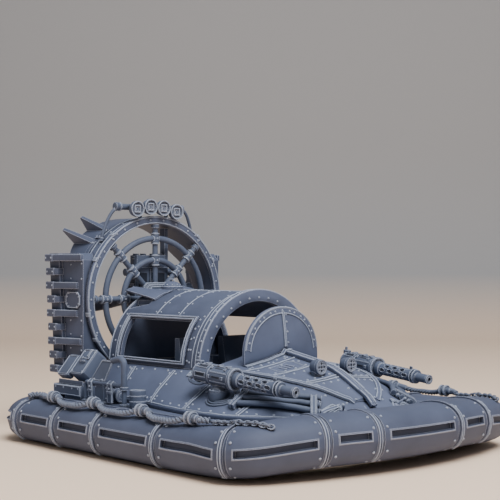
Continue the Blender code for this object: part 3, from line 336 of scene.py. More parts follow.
def curve_points(knots, per_span):
    """A smooth line through the knots."""
    knots = [Vector(k) for k in knots]
    out = []
    for i, (b, c) in enumerate(zip(knots, knots[1:])):
        a = knots[i - 1] if i else b * 2 - c
        d = knots[i + 2] if i + 2 < len(knots) else c * 2 - b
        for k in range(per_span):
            t = k / per_span
            out.append(0.5 * ((b * 2) + (c - a) * t + (a * 2 - b * 5 + c * 4 - d) * t * t
                              + (b * 3 - a - c * 3 + d) * t * t * t))
    return out + knots[-1:]


def tube(bm, knots, radius, per_span, sides, up=UP, lobes=0, lay=0.0):
    """A round bar, or with lobes a laid rope, along knots."""
    points = curve_points(knots, per_span)
    skin(bm, swept(points, [up] * len(points), round_profile(radius, sides, lobes), twist=lay))


def tree_of(*names):
    """A ray target, in millimetres, of CAD nodes."""
    verts = []
    faces = []
    for name in names:
        base = len(verts)
        mesh = NODES[name].data
        verts.extend(v.co / MM for v in mesh.vertices)
        faces.extend([base + i for i in p.vertices] for p in mesh.polygons)
    return BVHTree.FromPolygons(verts, faces)


def land(tree, start, ahead=DOWN):
    """Spot where a ray meets the tree."""
    point, normal = tree.ray_cast(Vector(start), ahead.normalized())[:2]
    if point is None:
        return None
    return point, -normal if normal.dot(ahead) > 0 else normal


def over(x, y):
    """Start of a downward ray."""
    return Vector((x, y, HIGH))


def run(tree, line, step=1.5):
    """Spots under a line of ray starts, near `step` apart."""
    out = []
    for a, b in zip(line, line[1:]):
        parts = max(1, round((b - a).length / step))
        out += [land(tree, a.lerp(b, k / parts)) for k in range(parts)]
    out.append(land(tree, line[-1]))
    return [spot for spot in out if spot]


# Carried-over nodes


def smooth_cast_group():
    """Shades by angle: flat across sharp edges, smooth elsewhere."""
    group, start, end = new_group("smooth_cast", {"Geometry": None}, ("Geometry",), "GeometryNodeTree",
                                  "NodeSocketGeometry")
    faces = add_node(group, "GeometryNodeSetShadeSmooth", domain="FACE")
    edges = add_node(group, "GeometryNodeSetShadeSmooth", domain="EDGE")
    angle = add_node(group, "GeometryNodeInputMeshEdgeAngle")
    below = add_node(group, "FunctionNodeCompare", {"B": radians(28)}, data_type="FLOAT", operation="LESS_THAN")
    wire(group, (start, "Geometry", faces, "Geometry"), (angle, "Unsigned Angle", below, "A"),
         (faces, "Geometry", edges, "Geometry"), (below, "Result", edges, "Shade Smooth"),
         (edges, "Geometry", end, "Geometry"))
    return group


SMOOTH_CAST = smooth_cast_group()


def carry(name, finish):
    """Dresses a CAD node: its loose triangles welded, its edges eased, its faces shaded by angle."""
    obj = NODES[name]
    obj.data.materials.clear()
    obj.data.materials.append(finish)
    obj.modifiers.new("weld", "WELD").merge_threshold = 0.000002
    ease = obj.modifiers.new("ease", "BEVEL")
    ease.width = 0.12 * MM
    ease.segments = 2
    ease.limit_method = "ANGLE"
    ease.angle_limit = radians(30)
    obj.modifiers.new("shade", "NODES").node_group = SMOOTH_CAST


FINISH_OF = {"hull": HULL_RESIN, "skirt": SKIRT_RESIN, "panels": PANEL_RESIN, "fittings": FITTING_RESIN,
             "stowage": KIT_RESIN}
# the hull takes the lighter panel tone: painted light that brightens its shaded sides
for entry in frame["record"]["subparts"]:
    carry(entry["node"], PANEL_RESIN if entry["node"] == "hull" else FINISH_OF[entry["material_slot"]])

# Skirt

HALF_WIDTH = 60.0
BOW_X = 74.9
STERN_X = -68.4
BOW_RADIUS = 138.0
STERN_RADIUS = 330.0
TUBE_HALF_WIDTH = 9.2
TUBE_HEIGHT = 14.3
# power of the tube's rounded section: 2 would be an ellipse
SQUARENESS = 2.3
HALF_BAND = 1.2
BAND_RAISE = 0.45
SLOT_HALF = 1.0
SLOT_DEPTH = 1.3
SLOT_INSET = 2.4
SIDE_BANDS = (-49.7, -27.0, -4.6, 25.5, 55.0)
BOW_BANDS = (17.2, 34.5)


class Plan:
    """A closed plan line from the stern's middle along starboard to the bow's middle and back along port."""

    def __init__(self, inset, bow_corner, stern_corner):
        half = HALF_WIDTH - inset
        bow_radius = BOW_RADIUS - inset
        stern_radius = STERN_RADIUS - inset
        self.stern_x = STERN_X + inset
        bow_turn = acos((half - bow_corner) / (bow_radius - bow_corner))
        stern_turn = acos((half - stern_corner) / (stern_radius - stern_corner))
        self.front = BOW_X - inset - bow_radius + (bow_radius - bow_corner) * sin(bow_turn)
        self.rear = self.stern_x + stern_radius - (stern_radius - stern_corner) * sin(stern_turn)
        self.parts = ((stern_radius, stern_radius * (pi / 2 - stern_turn)),
                      (stern_corner, stern_corner * stern_turn), (None, self.front - self.rear),
                      (bow_corner, bow_corner * bow_turn), (bow_radius, bow_radius * (pi / 2 - bow_turn)))
        self.ends = [sum(length for radius, length in self.parts[:i + 1]) for i in range(5)]
        self.half = self.ends[4]
        self.bow_radius = bow_radius
        self.stern_radius = stern_radius

    def at(self, s):
        """Point at arc length s; past the bow it is mirrored."""
        s = s % (2 * self.half)
        mirrored = s > self.half
        if mirrored:
            s = 2 * self.half - s
        x = self.stern_x
        y = 0.0
        heading = -pi / 2
        for radius, length in self.parts:
            part = min(max(s, 0.0), length)
            if radius is None:
                x += part * cos(heading)
                y += part * sin(heading)
            else:
                turn = part / radius
                x += radius * (sin(heading + turn) - sin(heading))
                y += radius * (cos(heading) - cos(heading + turn))
                heading += turn
            s -= part
        return (x, -y if mirrored else y)

    def find(self, test):
        """First s on the starboard half where test(point) turns true."""
        for i in range(4001):
            s = self.half * i / 4000
            if test(self.at(s)):
                return s
        return self.half


PLAN = Plan(0.0, 16.0, 14.0)
INNER = Plan(2 * TUBE_HALF_WIDTH, 1.6, 1.6)
NEAR = 13.0
stern_knot = PLAN.ends[0] - NEAR
bow_knot = PLAN.ends[3] + NEAR
PAIRS = ((0.0, 0.0), (stern_knot, stern_knot / PLAN.stern_radius * INNER.stern_radius),
         (PLAN.ends[0], INNER.ends[0]), (PLAN.ends[1], INNER.ends[1]),
         (PLAN.ends[1] + NEAR, INNER.ends[1] + PLAN.rear + NEAR - INNER.rear),
         (PLAN.ends[2] - NEAR, INNER.ends[1] + PLAN.front - NEAR - INNER.rear), (PLAN.ends[2], INNER.ends[2]),
         (PLAN.ends[3], INNER.ends[3]),
         (bow_knot, INNER.half - (PLAN.half - bow_knot) / PLAN.bow_radius * INNER.bow_radius),
         (PLAN.half, INNER.half))


def starboard_run(s):
    """Arc length folded onto the starboard half."""
    s = s % (2 * PLAN.half)
    return 2 * PLAN.half - s if s > PLAN.half else s


def across_tube(s, inset):
    """Plan point `inset` in from the skirt's outer line."""
    mirrored = s % (2 * PLAN.half) > PLAN.half
    s = starboard_run(s)
    inner_s = INNER.half
    for (a, c), (b, d) in zip(PAIRS, PAIRS[1:]):
        if s <= b:
            inner_s = c + (d - c) * (s - a) / (b - a)
            break
    ox, oy = PLAN.at(s)
    ix, iy = INNER.at(inner_s)
    t = inset / (2 * TUBE_HALF_WIDTH)
    y = oy + (iy - oy) * t
    return (ox + (ix - ox) * t, -y if mirrored else y)


def eased(t):
    """Smooth step from 0 to 1."""
    t = min(max(t, 0.0), 1.0)
    return t * t * (3 - 2 * t)


def tube_height(s):
    """Height of the tube at s."""
    return TUBE_HEIGHT + 0.1 * eased((starboard_run(s) - PLAN.ends[2]) / 25.6)


def tube_lift(s):
    """How far the tube's underside stands off the table at s."""
    return 3.2 * eased((starboard_run(s) - PLAN.ends[2] + 19.0) / 65.0)


def tube_reach(height, z):
    """Half width of the section at height z."""
    h = height / 2
    u = min(abs(z - h) / h, 1.0)
    return TUBE_HALF_WIDTH * (1 - u ** SQUARENESS) ** (1 / SQUARENESS)


def slot_middle(s):
    """Height of the slot's middle over the tube's middle: it dips round the bow's corners."""
    r = starboard_run(s)
    start = MARKS[len(SIDE_BANDS)]
    end = MARKS[len(SIDE_BANDS) + 1]
    dip = 1.15 * eased((r - start + 16) / 16)
    if r < end:
        dip *= 1 - 0.4 * eased((r - start) / (end - start))
    else:
        dip = 0.2
    return 0.095 * tube_height(s) - dip


def skirt_ring(s, raised, slot):
    """The tube's section at s; slot is 0 where closed, 0.5 on the lip at the slot's end, 1 where open."""
    height = tube_height(s)
    h = height / 2
    mid = slot_middle(s)
    pts = []
    lip = 0.16 if slot else 0.0
    deep = -SLOT_DEPTH if slot == 1 else lip
    edge = [(SLOT_HALF + 0.5, 0.0), (SLOT_HALF + 0.4, lip), (SLOT_HALF + 0.08, lip), (SLOT_HALF, deep / 2),
            (SLOT_HALF * 0.94, deep)]
    for z, rise in edge + [(-z, rise) for z, rise in reversed(edge)]:
        reach = tube_reach(height, mid + z + h) + raised
        pts.append((reach + rise, mid + z))
    lower = [-26, -36, -46, -56, -66, -76, -90, -104, -118, -134, -150, -166]
    upper = [178, 166, 154, 142, 130, 118, 106, 94, 82, 70, 59, 48, 38, 29]
    k = 2 / SQUARENESS
    for deg in lower + upper:
        c = cos(radians(deg))
        q = sin(radians(deg))
        u = abs(c) ** k * (1 if c >= 0 else -1) * (TUBE_HALF_WIDTH + raised)
        w = abs(q) ** k * (h + raised if q > 0 else -h)
        if deg in (-76, -90, -104):
            w = -h
        pts.append((u, w))
    ring = []
    for u, w in pts:
        x, y = across_tube(s, TUBE_HALF_WIDTH - u)
        ring.append(Vector((x, y, tube_lift(s) + h + w)))
    return ring


def band_marks():
    """Arc lengths of the raised bands, all round."""
    marks = [PLAN.find(lambda p: p[1] < -20.0)]
    for x in SIDE_BANDS:
        marks.append(PLAN.find(lambda p, x=x: p[0] > x and p[1] < -HALF_WIDTH + 6))
    for y in reversed(BOW_BANDS):
        marks.append(PLAN.find(lambda p, y=y: p[0] > 50 and p[1] > -y))
    marks.sort()
    return marks + [2 * PLAN.half - m for m in reversed(marks)]


MARKS = band_marks()


def slot_spans():
    """(band, slot's start, slot's end) as arc lengths, all round."""
    spans = []
    for mark, after in zip(MARKS, MARKS[1:] + MARKS[:1]):
        if after < mark:
            after += 2 * PLAN.half
        spans.append((mark, mark + HALF_BAND + SLOT_INSET, after - HALF_BAND - SLOT_INSET))
    return spans


def skirt_stations():
    """(s, raise, slot) for one whole turn."""
    out = []
    band = ((-HALF_BAND - 0.1, 0.0), (-HALF_BAND, 0.8), (-HALF_BAND + 0.12, 1.0), (-0.1, 1.0), (0.05, 0.8),
            (0.12, -0.7), (0.2, -0.85), (HALF_BAND - 0.2, -0.85), (HALF_BAND - 0.1, -0.7), (HALF_BAND, 0.0))
    for mark, a, b in slot_spans():
        steps = [(-ds, part) for ds, part in reversed(band)] if mark > PLAN.half else band
        out += [(mark + ds, BAND_RAISE * part, 0) for ds, part in steps]
        out += [(a + ds, 0.0, part) for ds, part in ((-0.5, 0), (-0.4, 0.5), (-0.08, 0.5), (0.06, 1))]
        count = max(2, int((b - a - 2.0) / 2.6))
        out += [(a + 1.0 + (b - a - 2.0) * k / count, 0.0, 1) for k in range(1, count)]
        out += [(b + ds, 0.0, part) for ds, part in ((-0.06, 1), (0.08, 0.5), (0.4, 0.5), (0.5, 0))]
    return out


bm = bmesh.new()
skin(bm, [skirt_ring(*station) for station in skirt_stations()], loop=True)
piece("skirt_tube", bm, SKIRT_RESIN, stands_for=("skirt",), crease=26)


def tube_spot(s, z):
    """Spot on the tube's outer face at arc length s and height z over the tube's middle."""
    height = tube_height(s)
    h = height / 2
    reach = tube_reach(height, z + h)
    x, y = across_tube(s, TUBE_HALF_WIDTH - reach)
    ix, iy = across_tube(s, TUBE_HALF_WIDTH)
    slope = (tube_reach(height, z + h - 0.3) - tube_reach(height, z + h + 0.3)) / 0.6
    out = Vector((x - ix, y - iy, 0)).normalized()
    return Vector((x, y, tube_lift(s) + h + z)), (out + Vector((0, 0, slope))).normalized()


# a thin line in the faint painted-highlight resin below each slot and up its two ends, its own width away from
# the slot
LINE_WIDTH = 0.24
bm = bmesh.new()
for mark, a, b in slot_spans():
    a -= LINE_WIDTH
    b += LINE_WIDTH
    count = max(3, int((b - a) / 2.4))
    edge = SLOT_HALF + LINE_WIDTH
    below = [(a + (b - a) * k / count, -edge) for k in range(count + 1)]
    line = [(a, edge), (a, 0.0)] + below + [(b, 0.0), (b, edge)]
    spots = [tube_spot(s, slot_middle(s) + z) for s, z in line]
    strip(bm, [(at + up * 0.1, up) for at, up in spots], LINE_WIDTH, 0.1)
piece("skirt_slot_edges", bm, FAINT_HIGHLIGHT_RESIN)

# beads on the bands' edges and rivets beside the bands, light-coloured as painted highlight
bm, beads = meshes(2)
for mark in MARKS:
    front = PLAN.ends[2] < starboard_run(mark)
    for side in (-1, 1):
        for z in (-3.4, -6.3, 3.4, 6.0) if front else (-2.6, 3.4, 5.9):
            rivet(bm, tube_spot(mark + side * (HALF_BAND + 1.25), z), 0.42, 0.3)
    stern = 1 if mark > PLAN.half else -1
    for ds, wide in ((stern * (HALF_BAND - 0.2), 0.3), (stern * 0.2, 0.2)):
        height = tube_height(mark)
        spots = [tube_spot(mark + ds, height * (0.94 - 0.86 * k / 24) - height / 2) for k in range(25)]
        strip(beads, [(at + up * (BAND_RAISE * 0.96), up) for at, up in spots], wide, 0.1)
piece("skirt_band_beads", beads, HIGHLIGHT_RESIN)
piece("skirt_rivets", bm, HIGHLIGHT_RESIN)

# Grab ropes on the tube

ROPE_CLAMPS = (-33.5, -10.7, 14.2, 37.3)
SPOOL = ((-2.2, 0.7), (-2.2, 1.68), (-2.05, 1.85), (-1.55, 1.85), (-1.4, 1.68), (-1.4, 1.32), (-0.3, 1.32),
         (-0.3, 1.68), (-0.15, 1.85), (0.4, 1.85), (0.55, 1.68), (0.55, 1.15), (1.9, 1.15), (2.1, 0.98),
         (2.1, 0.7))


def tube_shoulder(y, stand):
    """(y, z) at `stand` off the side tube's upper outer face, over its point at y."""
    def top(at):
        across = (at - HALF_WIDTH + TUBE_HALF_WIDTH) / TUBE_HALF_WIDTH
        return TUBE_HEIGHT / 2 * (1 + (1 - across ** SQUARENESS) ** (1 / SQUARENESS))

    slope = (top(y + 0.1) - top(y - 0.1)) / 0.2
    length = sqrt(1.0 + slope * slope)
    return y - stand * slope / length, top(y) + stand / length

# how far a clamp is from the middle line, and how far it stands off the tube
CLAMP_Y = 54.3
CLAMP_STAND = 2.1


def grab_rope(name, side):
    """A laid rope that hangs from clamp to clamp, with a loop behind the first one."""
    knots = []

    def put(x, y, stand):
        at_y, at_z = tube_shoulder(y, stand)
        knots.append((x, side * at_y, at_z))
        return knots[-1]

    for i in range(6):
        a = radians(200 - 33 * i)
        put(-44.7 + 3.8 * cos(a), 54.4 - 1.9 * sin(a), 1.45)
    put(-38.7, 54.0, 1.7)
    for x, ahead in zip(ROPE_CLAMPS, ROPE_CLAMPS[1:] + (None,)):
        for dx in (-2.2, 2.2):
            put(x + dx, CLAMP_Y, CLAMP_STAND)
        if ahead:
            for t in (0.12, 0.3, 0.5, 0.7, 0.88):
                drop = min(sin(pi * t) / 0.6, 1.0)
                put(x + 2.2 + (ahead - x - 4.4) * t, CLAMP_Y + 1.8 * drop, CLAMP_STAND - 0.65 * drop)
    put(40.9, 53.8, 1.8)
    put(42.8, 53.0, 1.6)
    bm, lips = meshes(2)
    tube(bm, knots, 0.95, 16, 18, lobes=3, lay=1.6 * side)
    for x in ROPE_CLAMPS:
        sleeve = [put(x + dx, CLAMP_Y + out, stand) for dx, out, stand in
                  ((1.6, 0.0, 2.1), (2.4, 0.05, 2.08), (3.2, 0.25, 1.98), (4.0, 0.55, 1.86), (4.6, 0.8, 1.76))]
        tube(bm, sleeve if x < 37 else sleeve[:3], 0.98, 3, 16)
        place = Matrix.Translation(put(x, CLAMP_Y, CLAMP_STAND))
        for dx in (-1.8, 0.12):
            lathe(lips, ((dx - 0.24, 1.75), (dx - 0.24, 1.92), (dx + 0.24, 1.92), (dx + 0.24, 1.75)), place, 28)
        lathe(bm, SPOOL, place, 28)
    piece(name + "_laid", bm, ROPE_RESIN, stands_for=(name,), crease=24)
    piece(name + "_lips", lips, HIGHLIGHT_RESIN, crease=40)


def chain(name, side):
    """A chain of round links laid along the tube's crown, from the last clamp into the bow's corner."""
    bm = bmesh.new()
    skirt_top = tree_of("skirt")
    knots = [(x, side * y, 40) for x, y in ((43.6, 52.6), (48.0, 52.0), (54.0, 51.4), (59.0, 50.2), (63.0, 48.2))]
    line = [at + up * 0.75 for at, up in (land(skirt_top, q) for q in curve_points(knots, 4))]
    for i, (a, b) in enumerate(zip(line, line[1:])):
        place = axes(a.lerp(b, 0.5), b - a, UP) @ Matrix.Rotation(radians(50 if i % 2 else -40), 4, "X")
        points = [place @ Vector((1.02 * cos(pi * j / 6), 0.72 * sin(pi * j / 6), 0)) for j in range(12)]
        skin(bm, swept(points, [place.to_3x3() @ UP] * 12, round_profile(0.3, 6), loop=True), loop=True)
    piece(name, bm, ROPE_RESIN, crease=60)


for label, side in SIDES:
    grab_rope("grab_rope_" + label, side)
for label, side in SIDES:
    chain("skirt_chain_" + label, side)

# Hull and foredeck plating

hull_tree = tree_of("hull")
bow_tree = tree_of("hull", "foredeck", "ridge_beam")
GUN_X = 21.0
GUN_Y = 31.6

LOWER_EDGE = ((-50.5, 30.2), (-36, 31.6), (-20, 34.0), (0, 37.5), (11, 38.9), (22, 39.3), (30, 38.0),
              (36, 35.5), (41, 32.2), (46, 28.0), (49.5, 24.0), (52, 20.0), (54, 15.2), (55.2, 11.0),
              (56.2, 5.0))
CHINE_EDGE = ((-50, 24.9), (-20, 25.1), (3.0, 25.1), (9, 24.0), (14, 22.4), (20, 21.2), (26.5, 20.0),
              (31.5, 18.8), (36.7, 17.2), (41, 15.1), (45.0, 12.6), (47.8, 10.3), (50.0, 8.0), (51.6, 5.8))


def along(table, x):
    """Straight reading of a table of (x, value)."""
    for (x0, v0), (x1, v1) in zip(table, table[1:]):
        if x <= x1:
            t = min(max((x - x0) / (x1 - x0), 0.0), 1.0)
            return v0 + (v1 - v0) * t
    return table[-1][1]


def bow_side(x, t, side):
    """Ray start over the bow's flared side: t runs from its foot, 0, to its upper edge, 1."""
    low = along(LOWER_EDGE, x)
    top = along(CHINE_EDGE, 36 + (x - 36) * 17.0 / 20.5)
    return over(x, side * (low + (top - low) * t))


def both(points, shift):
    """Ray starts over the points, moved outward by shift, on the starboard and on the port side."""
    return [[over(x, side * (y + shift)) for x, y in points] for side in (-1, 1)]


def clear(spot):
    """The spot, or None where a rivet would stand in the way of a gun's tail."""
    if spot:
        x, y = spot[0].x, abs(spot[0].y)
        if x < GUN_X and y < 30.8 and sqrt((x - GUN_X) ** 2 + (y - GUN_Y) ** 2) < 15.0:
            return None
    return spot


def rivets_along(bm, tree, line, pitch):
    """Rivets at an even pitch under a line of ray starts, from half a pitch in."""
    gap = 0.5 * pitch
    for a, b in zip(line, line[1:]):
        length = (b - a).length
        while gap < length:
            rivet(bm, clear(land(tree, a.lerp(b, gap / length))), 0.42, 0.3)
            gap += pitch
        gap -= length


bands, strips, rivets, louvres = meshes(4)
# the chine band, with rivets above and below it
BOW_CHINE = [(x, y) for x, y in CHINE_EDGE if x > 12]
for line in both(BOW_CHINE, -0.55):
    strip(bands, run(bow_tree, line), 1.5, 0.34, lines=strips)
for shift, pitch in ((-2.0, 5.6), (1.3, 6.4)):
    for line in both(BOW_CHINE, shift):
        rivets_along(rivets, bow_tree, line, pitch)
# rows along the hull's foot and the cabin's foot
for line in both(LOWER_EDGE, -1.3):
    rivets_along(rivets, hull_tree, line, 5.2)
for line in both(LOWER_EDGE, -0.4):
    strip(strips, run(hull_tree, line), 0.4, 0.2)
for line in both([(x, y) for x, y in CHINE_EDGE if x < 12], 0.9):
    rivets_along(rivets, hull_tree, line, 7.0)
# upright laps on the flared side; the last one stops short of the hoses
for x, end, shares in ((-30.0, 0.92, (0.16, 0.5, 0.84)), (-8.0, 0.92, (0.16, 0.5, 0.84)),
                       (12.6, 0.92, (0.16, 0.5, 0.84)), (34.0, 0.42, (0.16,))):
    low = along(LOWER_EDGE, x)
    wide = along(CHINE_EDGE, x) - low
    for side in (-1, 1):
        lap = [over(x, side * (low - 0.5)), over(x, side * (low + wide * end))]
        strip(bands, run(hull_tree, lap), 1.3, 0.28, lines=strips)
        for dx in (-1.6, 1.6):
            for t in shares:
                rivet(rivets, clear(land(hull_tree, over(x + dx, side * (low + wide * t)))), 0.4, 0.28)
# cross laps on the foredeck, single and double
for x_top, x_low, y_low, shifts in ((22.5, 19.6, 19.6, (0.0,)), (31.6, 29.6, 17.6, (0.0,)),
                                    (41.4, 40.4, 13.6, (-0.55, 0.55))):
    for side in (-1, 1):
        a = over(x_top, side * 1.8)
        b = over(x_low, side * y_low)
        for dx in shifts:
            strip(strips, run(bow_tree, [a + AHEAD * dx, b + AHEAD * dx]), 0.45, 0.3)
        for dx in (-1.9, 1.9):
            for t in (0.12, 0.36, 0.6, 0.84):
                rivet(rivets, clear(land(bow_tree, a.lerp(b, t) + AHEAD * dx)), 0.42, 0.3)
# rivets beside the ridge beam, and painted-highlight lines along its edges
for side in (-1, 1):
    rivets_along(rivets, bow_tree, [over(17.5, side * 3.0), over(50.0, side * 2.9)], 5.4)
ridge_tree = tree_of("ridge_beam")
for side in (-1, 1):
    for a, b, y in ((17.0, 49.8, 1.28), (50.4, 54.7, 0.98)):
        strip(strips, run(ridge_tree, [over(a, side * y), over(b, side * y)], 1.4), 0.42, 0.1)
# louvred panel on each side of the foredeck, between the first two laps
PANEL = ((24.3, 4.2), (30.0, 4.6), (29.6, 11.4), (27.7, 13.2), (22.9, 13.0), (22.7, 5.6))
for side, line in zip((-1, 1), both(PANEL, 0.0)):
    strip(louvres, run(bow_tree, line + line[:1], 1.2)[:-1], 0.3, 0.14, loop=True)
    for y in (7.0, 8.6, 10.2):
        strip(bands, run(bow_tree, [over(24.4, side * (y + 0.5)), over(27.9, side * y)], 0.8), 0.6, 0.3)
# side vents low on the bow
for side in (-1, 1):
    line = [bow_side(x, t, side) for x, t in ((50.6, 0.18), (53.6, 0.10), (53.0, 0.72), (50.2, 0.80))]
    spots = run(hull_tree, line + line[:1], 1.0)[:-1]
    if len(spots) > 5:
        strip(strips, spots, 0.55, 0.32, loop=True)
    for k in range(1, 6):
        a = line[0].lerp(line[1], k / 6)
        b = line[3].lerp(line[2], k / 6)
        spots = run(hull_tree, [a.lerp(b, 0.12), a.lerp(b, 0.88)], 0.9)
        if len(spots) > 1:
            strip(strips, spots, 0.3, 0.28)
# inclined strap ahead of the hoses' bracket, and the small lever behind it
for side in (-1, 1):
    spots = run(hull_tree, [bow_side(51.0, 0.06, side), bow_side(51.4, 0.86, side)], 1.0)
    strip(bands, spots, 1.2, 0.5, lines=strips)
    for at, up in (spots[1], spots[-2]):
        rivet(rivets, (at + up * 0.5, up), 0.34, 0.26)
    at, up = land(bow_tree, over(53.2, side * 11.6))
    block(bands, (-1.3, -0.8, -0.3), (1.3, 0.8, 0.6), axes(at, (0.4, side, 0), up), 0.15)
    lever = ((0.4, 0.0, 0.0), (1.6, 0.3, 0.5), (2.6, 0.6, 1.4), (2.7, 0.65, 1.5))
    knots = [at + up * rise + Vector((dx, side * dy, 0)) for rise, dx, dy in lever]
    tube(bands, knots[:3], 0.34, 4, 10)
    rivet(rivets, (knots[3], up), 0.5, 0.5)
piece("hull_bands", bands, PANEL_RESIN)
piece("foredeck_louvres", louvres, FAINT_HIGHLIGHT_RESIN)
piece("hull_laps", strips, HIGHLIGHT_RESIN)
piece("hull_rivets", rivets, HIGHLIGHT_RESIN)

# Windscreen trim

screen_tree = tree_of("windscreen")
SCREEN_HALF = 16.0
SCREEN_FOOT = 29.5
SCREEN_TOP = 45.2


def on_screen(y, z):
    """Spot on the shield's front."""
    return land(screen_tree, (40.0, y, z), ASTERN)


def screen_edge(start, inset):
    """Spots over the shield's outline, `inset` in from its edge, `start` degrees short of each end."""
    spots = []
    for k in range(41):
        a = radians(start + (180 - 2 * start) * k / 40)
        z = SCREEN_FOOT + (SCREEN_TOP - inset - SCREEN_FOOT) * sin(a) ** 0.9
        spots.append(on_screen((SCREEN_HALF - inset) * cos(a), z))
    return [spot for spot in spots if spot]


bands, strips, rivets = meshes(3)
for inset in (0.35, 2.2):
    strip(strips, screen_edge(6, inset), 0.38, 0.3)
line = screen_edge(7, 1.38)
strip(bands, line, 1.7, 0.16)
for k in range(15):
    at, up = line[2 + round(k * (len(line) - 5) / 14)]
    rivet(rivets, (at + up * 0.14, up), 0.4, 0.3)
strip(bands, [on_screen(0.0, 32.4 + k) for k in range(12)], 0.9, 0.42, lines=strips)
for z in (33.6, 37.0, 40.2, 42.6):
    rivet(rivets, on_screen(1.35, z), 0.36, 0.28)
# the curved foot that carries the shield
foot = []
for k in range(33):
    y = -16.2 + 32.4 * k / 32
    w = min(abs(y) / SCREEN_HALF, 1.0)
    x = 15.7 + 1.8 * (1 - w ** 1.6)
    foot.append(land(bow_tree, over(x, y)))
    if k % 3 == 1:
        rivet(rivets, land(bow_tree, over(x + 1.7, y)), 0.42, 0.3)
strip(bands, foot, 1.3, 0.5, lines=strips)
piece("windscreen_band", bands, PANEL_RESIN)
piece("windscreen_trim", strips, HIGHLIGHT_RESIN)
piece("windscreen_rivets", rivets, HIGHLIGHT_RESIN)

# Cabin trim

CABIN_BASE = 25.2
# radius of the row of rivets on the arch's face
ARCH_RIVETS = 22.6
shell_tree = tree_of("cabin_shell", "cabin_arch")


def round_cabin(x, deg, tree=shell_tree):
    """Spot on the vault at station x; deg runs from starboard, 0, over the top to port, 180."""
    a = radians(deg)
    out = Vector((0, -cos(a), sin(a)))
    return land(tree, Vector((x, 0, CABIN_BASE)) + out * HIGH, -out)


def hoop(x, start, end, width, rise):
    """A raised line over the vault at station x."""
    count = max(2, int((end - start) / 4.0))
    strip(strips, [round_cabin(x, start + (end - start) * k / count) for k in range(count + 1)], width, rise)


strips, rivets = meshes(2)
# front arch: two raised lines and two rows of rivets, and a row on its face
hoop(3.4, 1.5, 178.5, 0.4, 0.26)
hoop(1.5, 1.5, 178.5, 0.36, 0.22)
for k in range(21):
    rivet(rivets, round_cabin(2.45, 4 + 172 * k / 20), 0.38, 0.28)
for k in range(17):
    a = radians(5 + 170 * k / 16)
    rivet(rivets, (Vector((3.7, -ARCH_RIVETS * cos(a), CABIN_BASE + ARCH_RIVETS * sin(a))), AHEAD), 0.4, 0.28)
# lap behind the arch, seams of the roof, the rear border
hoop(-1.2, 1.5, 178.5, 0.36, 0.2)
for k in range(19):
    rivet(rivets, round_cabin(-2.6, 5 + 170 * k / 18), 0.38, 0.26)
for x in (-15.6, -28.0):
    hoop(x, 40.0, 140.0, 0.4, 0.22)
    for k in range(9):
        for dx in (-1.3, 1.3):
            rivet(rivets, round_cabin(x + dx, 45 + 90 * k / 8), 0.34, 0.24)
hoop(-46.6, 1.5, 178.5, 0.6, 0.30)
hoop(-42.6, 1.5, 34.0, 0.6, 0.26)
hoop(-42.6, 146.0, 178.5, 0.6, 0.26)
for k in range(15):
    deg = 5 + 170 * k / 14
    if not 52 < deg < 128:
        rivet(rivets, round_cabin(-44.7, deg), 0.4, 0.28)
# crown lap with its rivets, and the row over each window
for side in (-1, 1):
    strip(strips, [round_cabin(x, 90 + side * 3.2) for x in range(-38, 0, 4)], 0.36, 0.18)
    for x, pitch, count, deg in ((-35.5, 5.5, 7, 6.4), (-38.6, 6.2, 6, 48.5)):
        for k in range(count):
            rivet(rivets, round_cabin(x + pitch * k, 90 + side * deg), 0.34, 0.24)
# window frames: a raised inner and outer line, rivets on the posts
for label, side in SIDES:
    window_tree = tree_of("window_frame_" + label)
    for x0, x1, low, top in ((-41.9, -4.9, 3.3, 40.2), (-40.9, -5.9, 4.9, 38.4)):
        corners = ((x0, low), (x0, top), (x1, top), (x1, low), (x0, low))
        line = []
        for (x, deg), (next_x, next_deg) in zip(corners, corners[1:]):
            for t in [k / 12 for k in range(12)]:
                up_side = deg + (next_deg - deg) * t
                line.append(round_cabin(x + (next_x - x) * t, 90 + side * (90 - up_side), window_tree))
        strip(strips, line, 0.42, 0.26, loop=True)
    for k in range(5):
        rivet(rivets, round_cabin(-3.7, 90 + side * (90 - (6 + 8.4 * k))), 0.4, 0.28)
# the arch's foot plates
for side in (-1, 1):
    at, up = land(hull_tree, over(2.4, side * 26.4))
    place = axes(at, AHEAD, up)
    block(strips, (-2.4, -1.3, -0.3), (2.4, 1.3, 0.5), place, 0.15)
    for dx in (-1.6, 1.6):
        rivet(rivets, (place @ Vector((dx, 0, 0.5)), up), 0.38, 0.26)
piece("cabin_laps", strips, HIGHLIGHT_RESIN)
piece("cabin_rivets", rivets, HIGHLIGHT_RESIN)

# Guns

GUN_Z = 25.1
SHROUD = 1.9
HOLE_PITCH = 3.5
SHROUD_START = 9.0
SHROUD_END = 23.6
SHROUD_STEPS = 62
DRUM = 2.95
PORT_FRAME = ((-7.6, -13), (-5.4, -13), (-3.2, -13), (-3.2, 0), (-3.2, 13), (-5.4, 13), (-7.6, 13), (-7.6, 0))
HANDLE = ((-8.9, -1.9, -1.3), (-10.3, -2.2, -1.9), (-9.7, -2.5, -2.7), (-7.4, -2.7, -3.1), (-5.2, -2.5, -2.9),
          (-4.1, -1.8, -2.2))


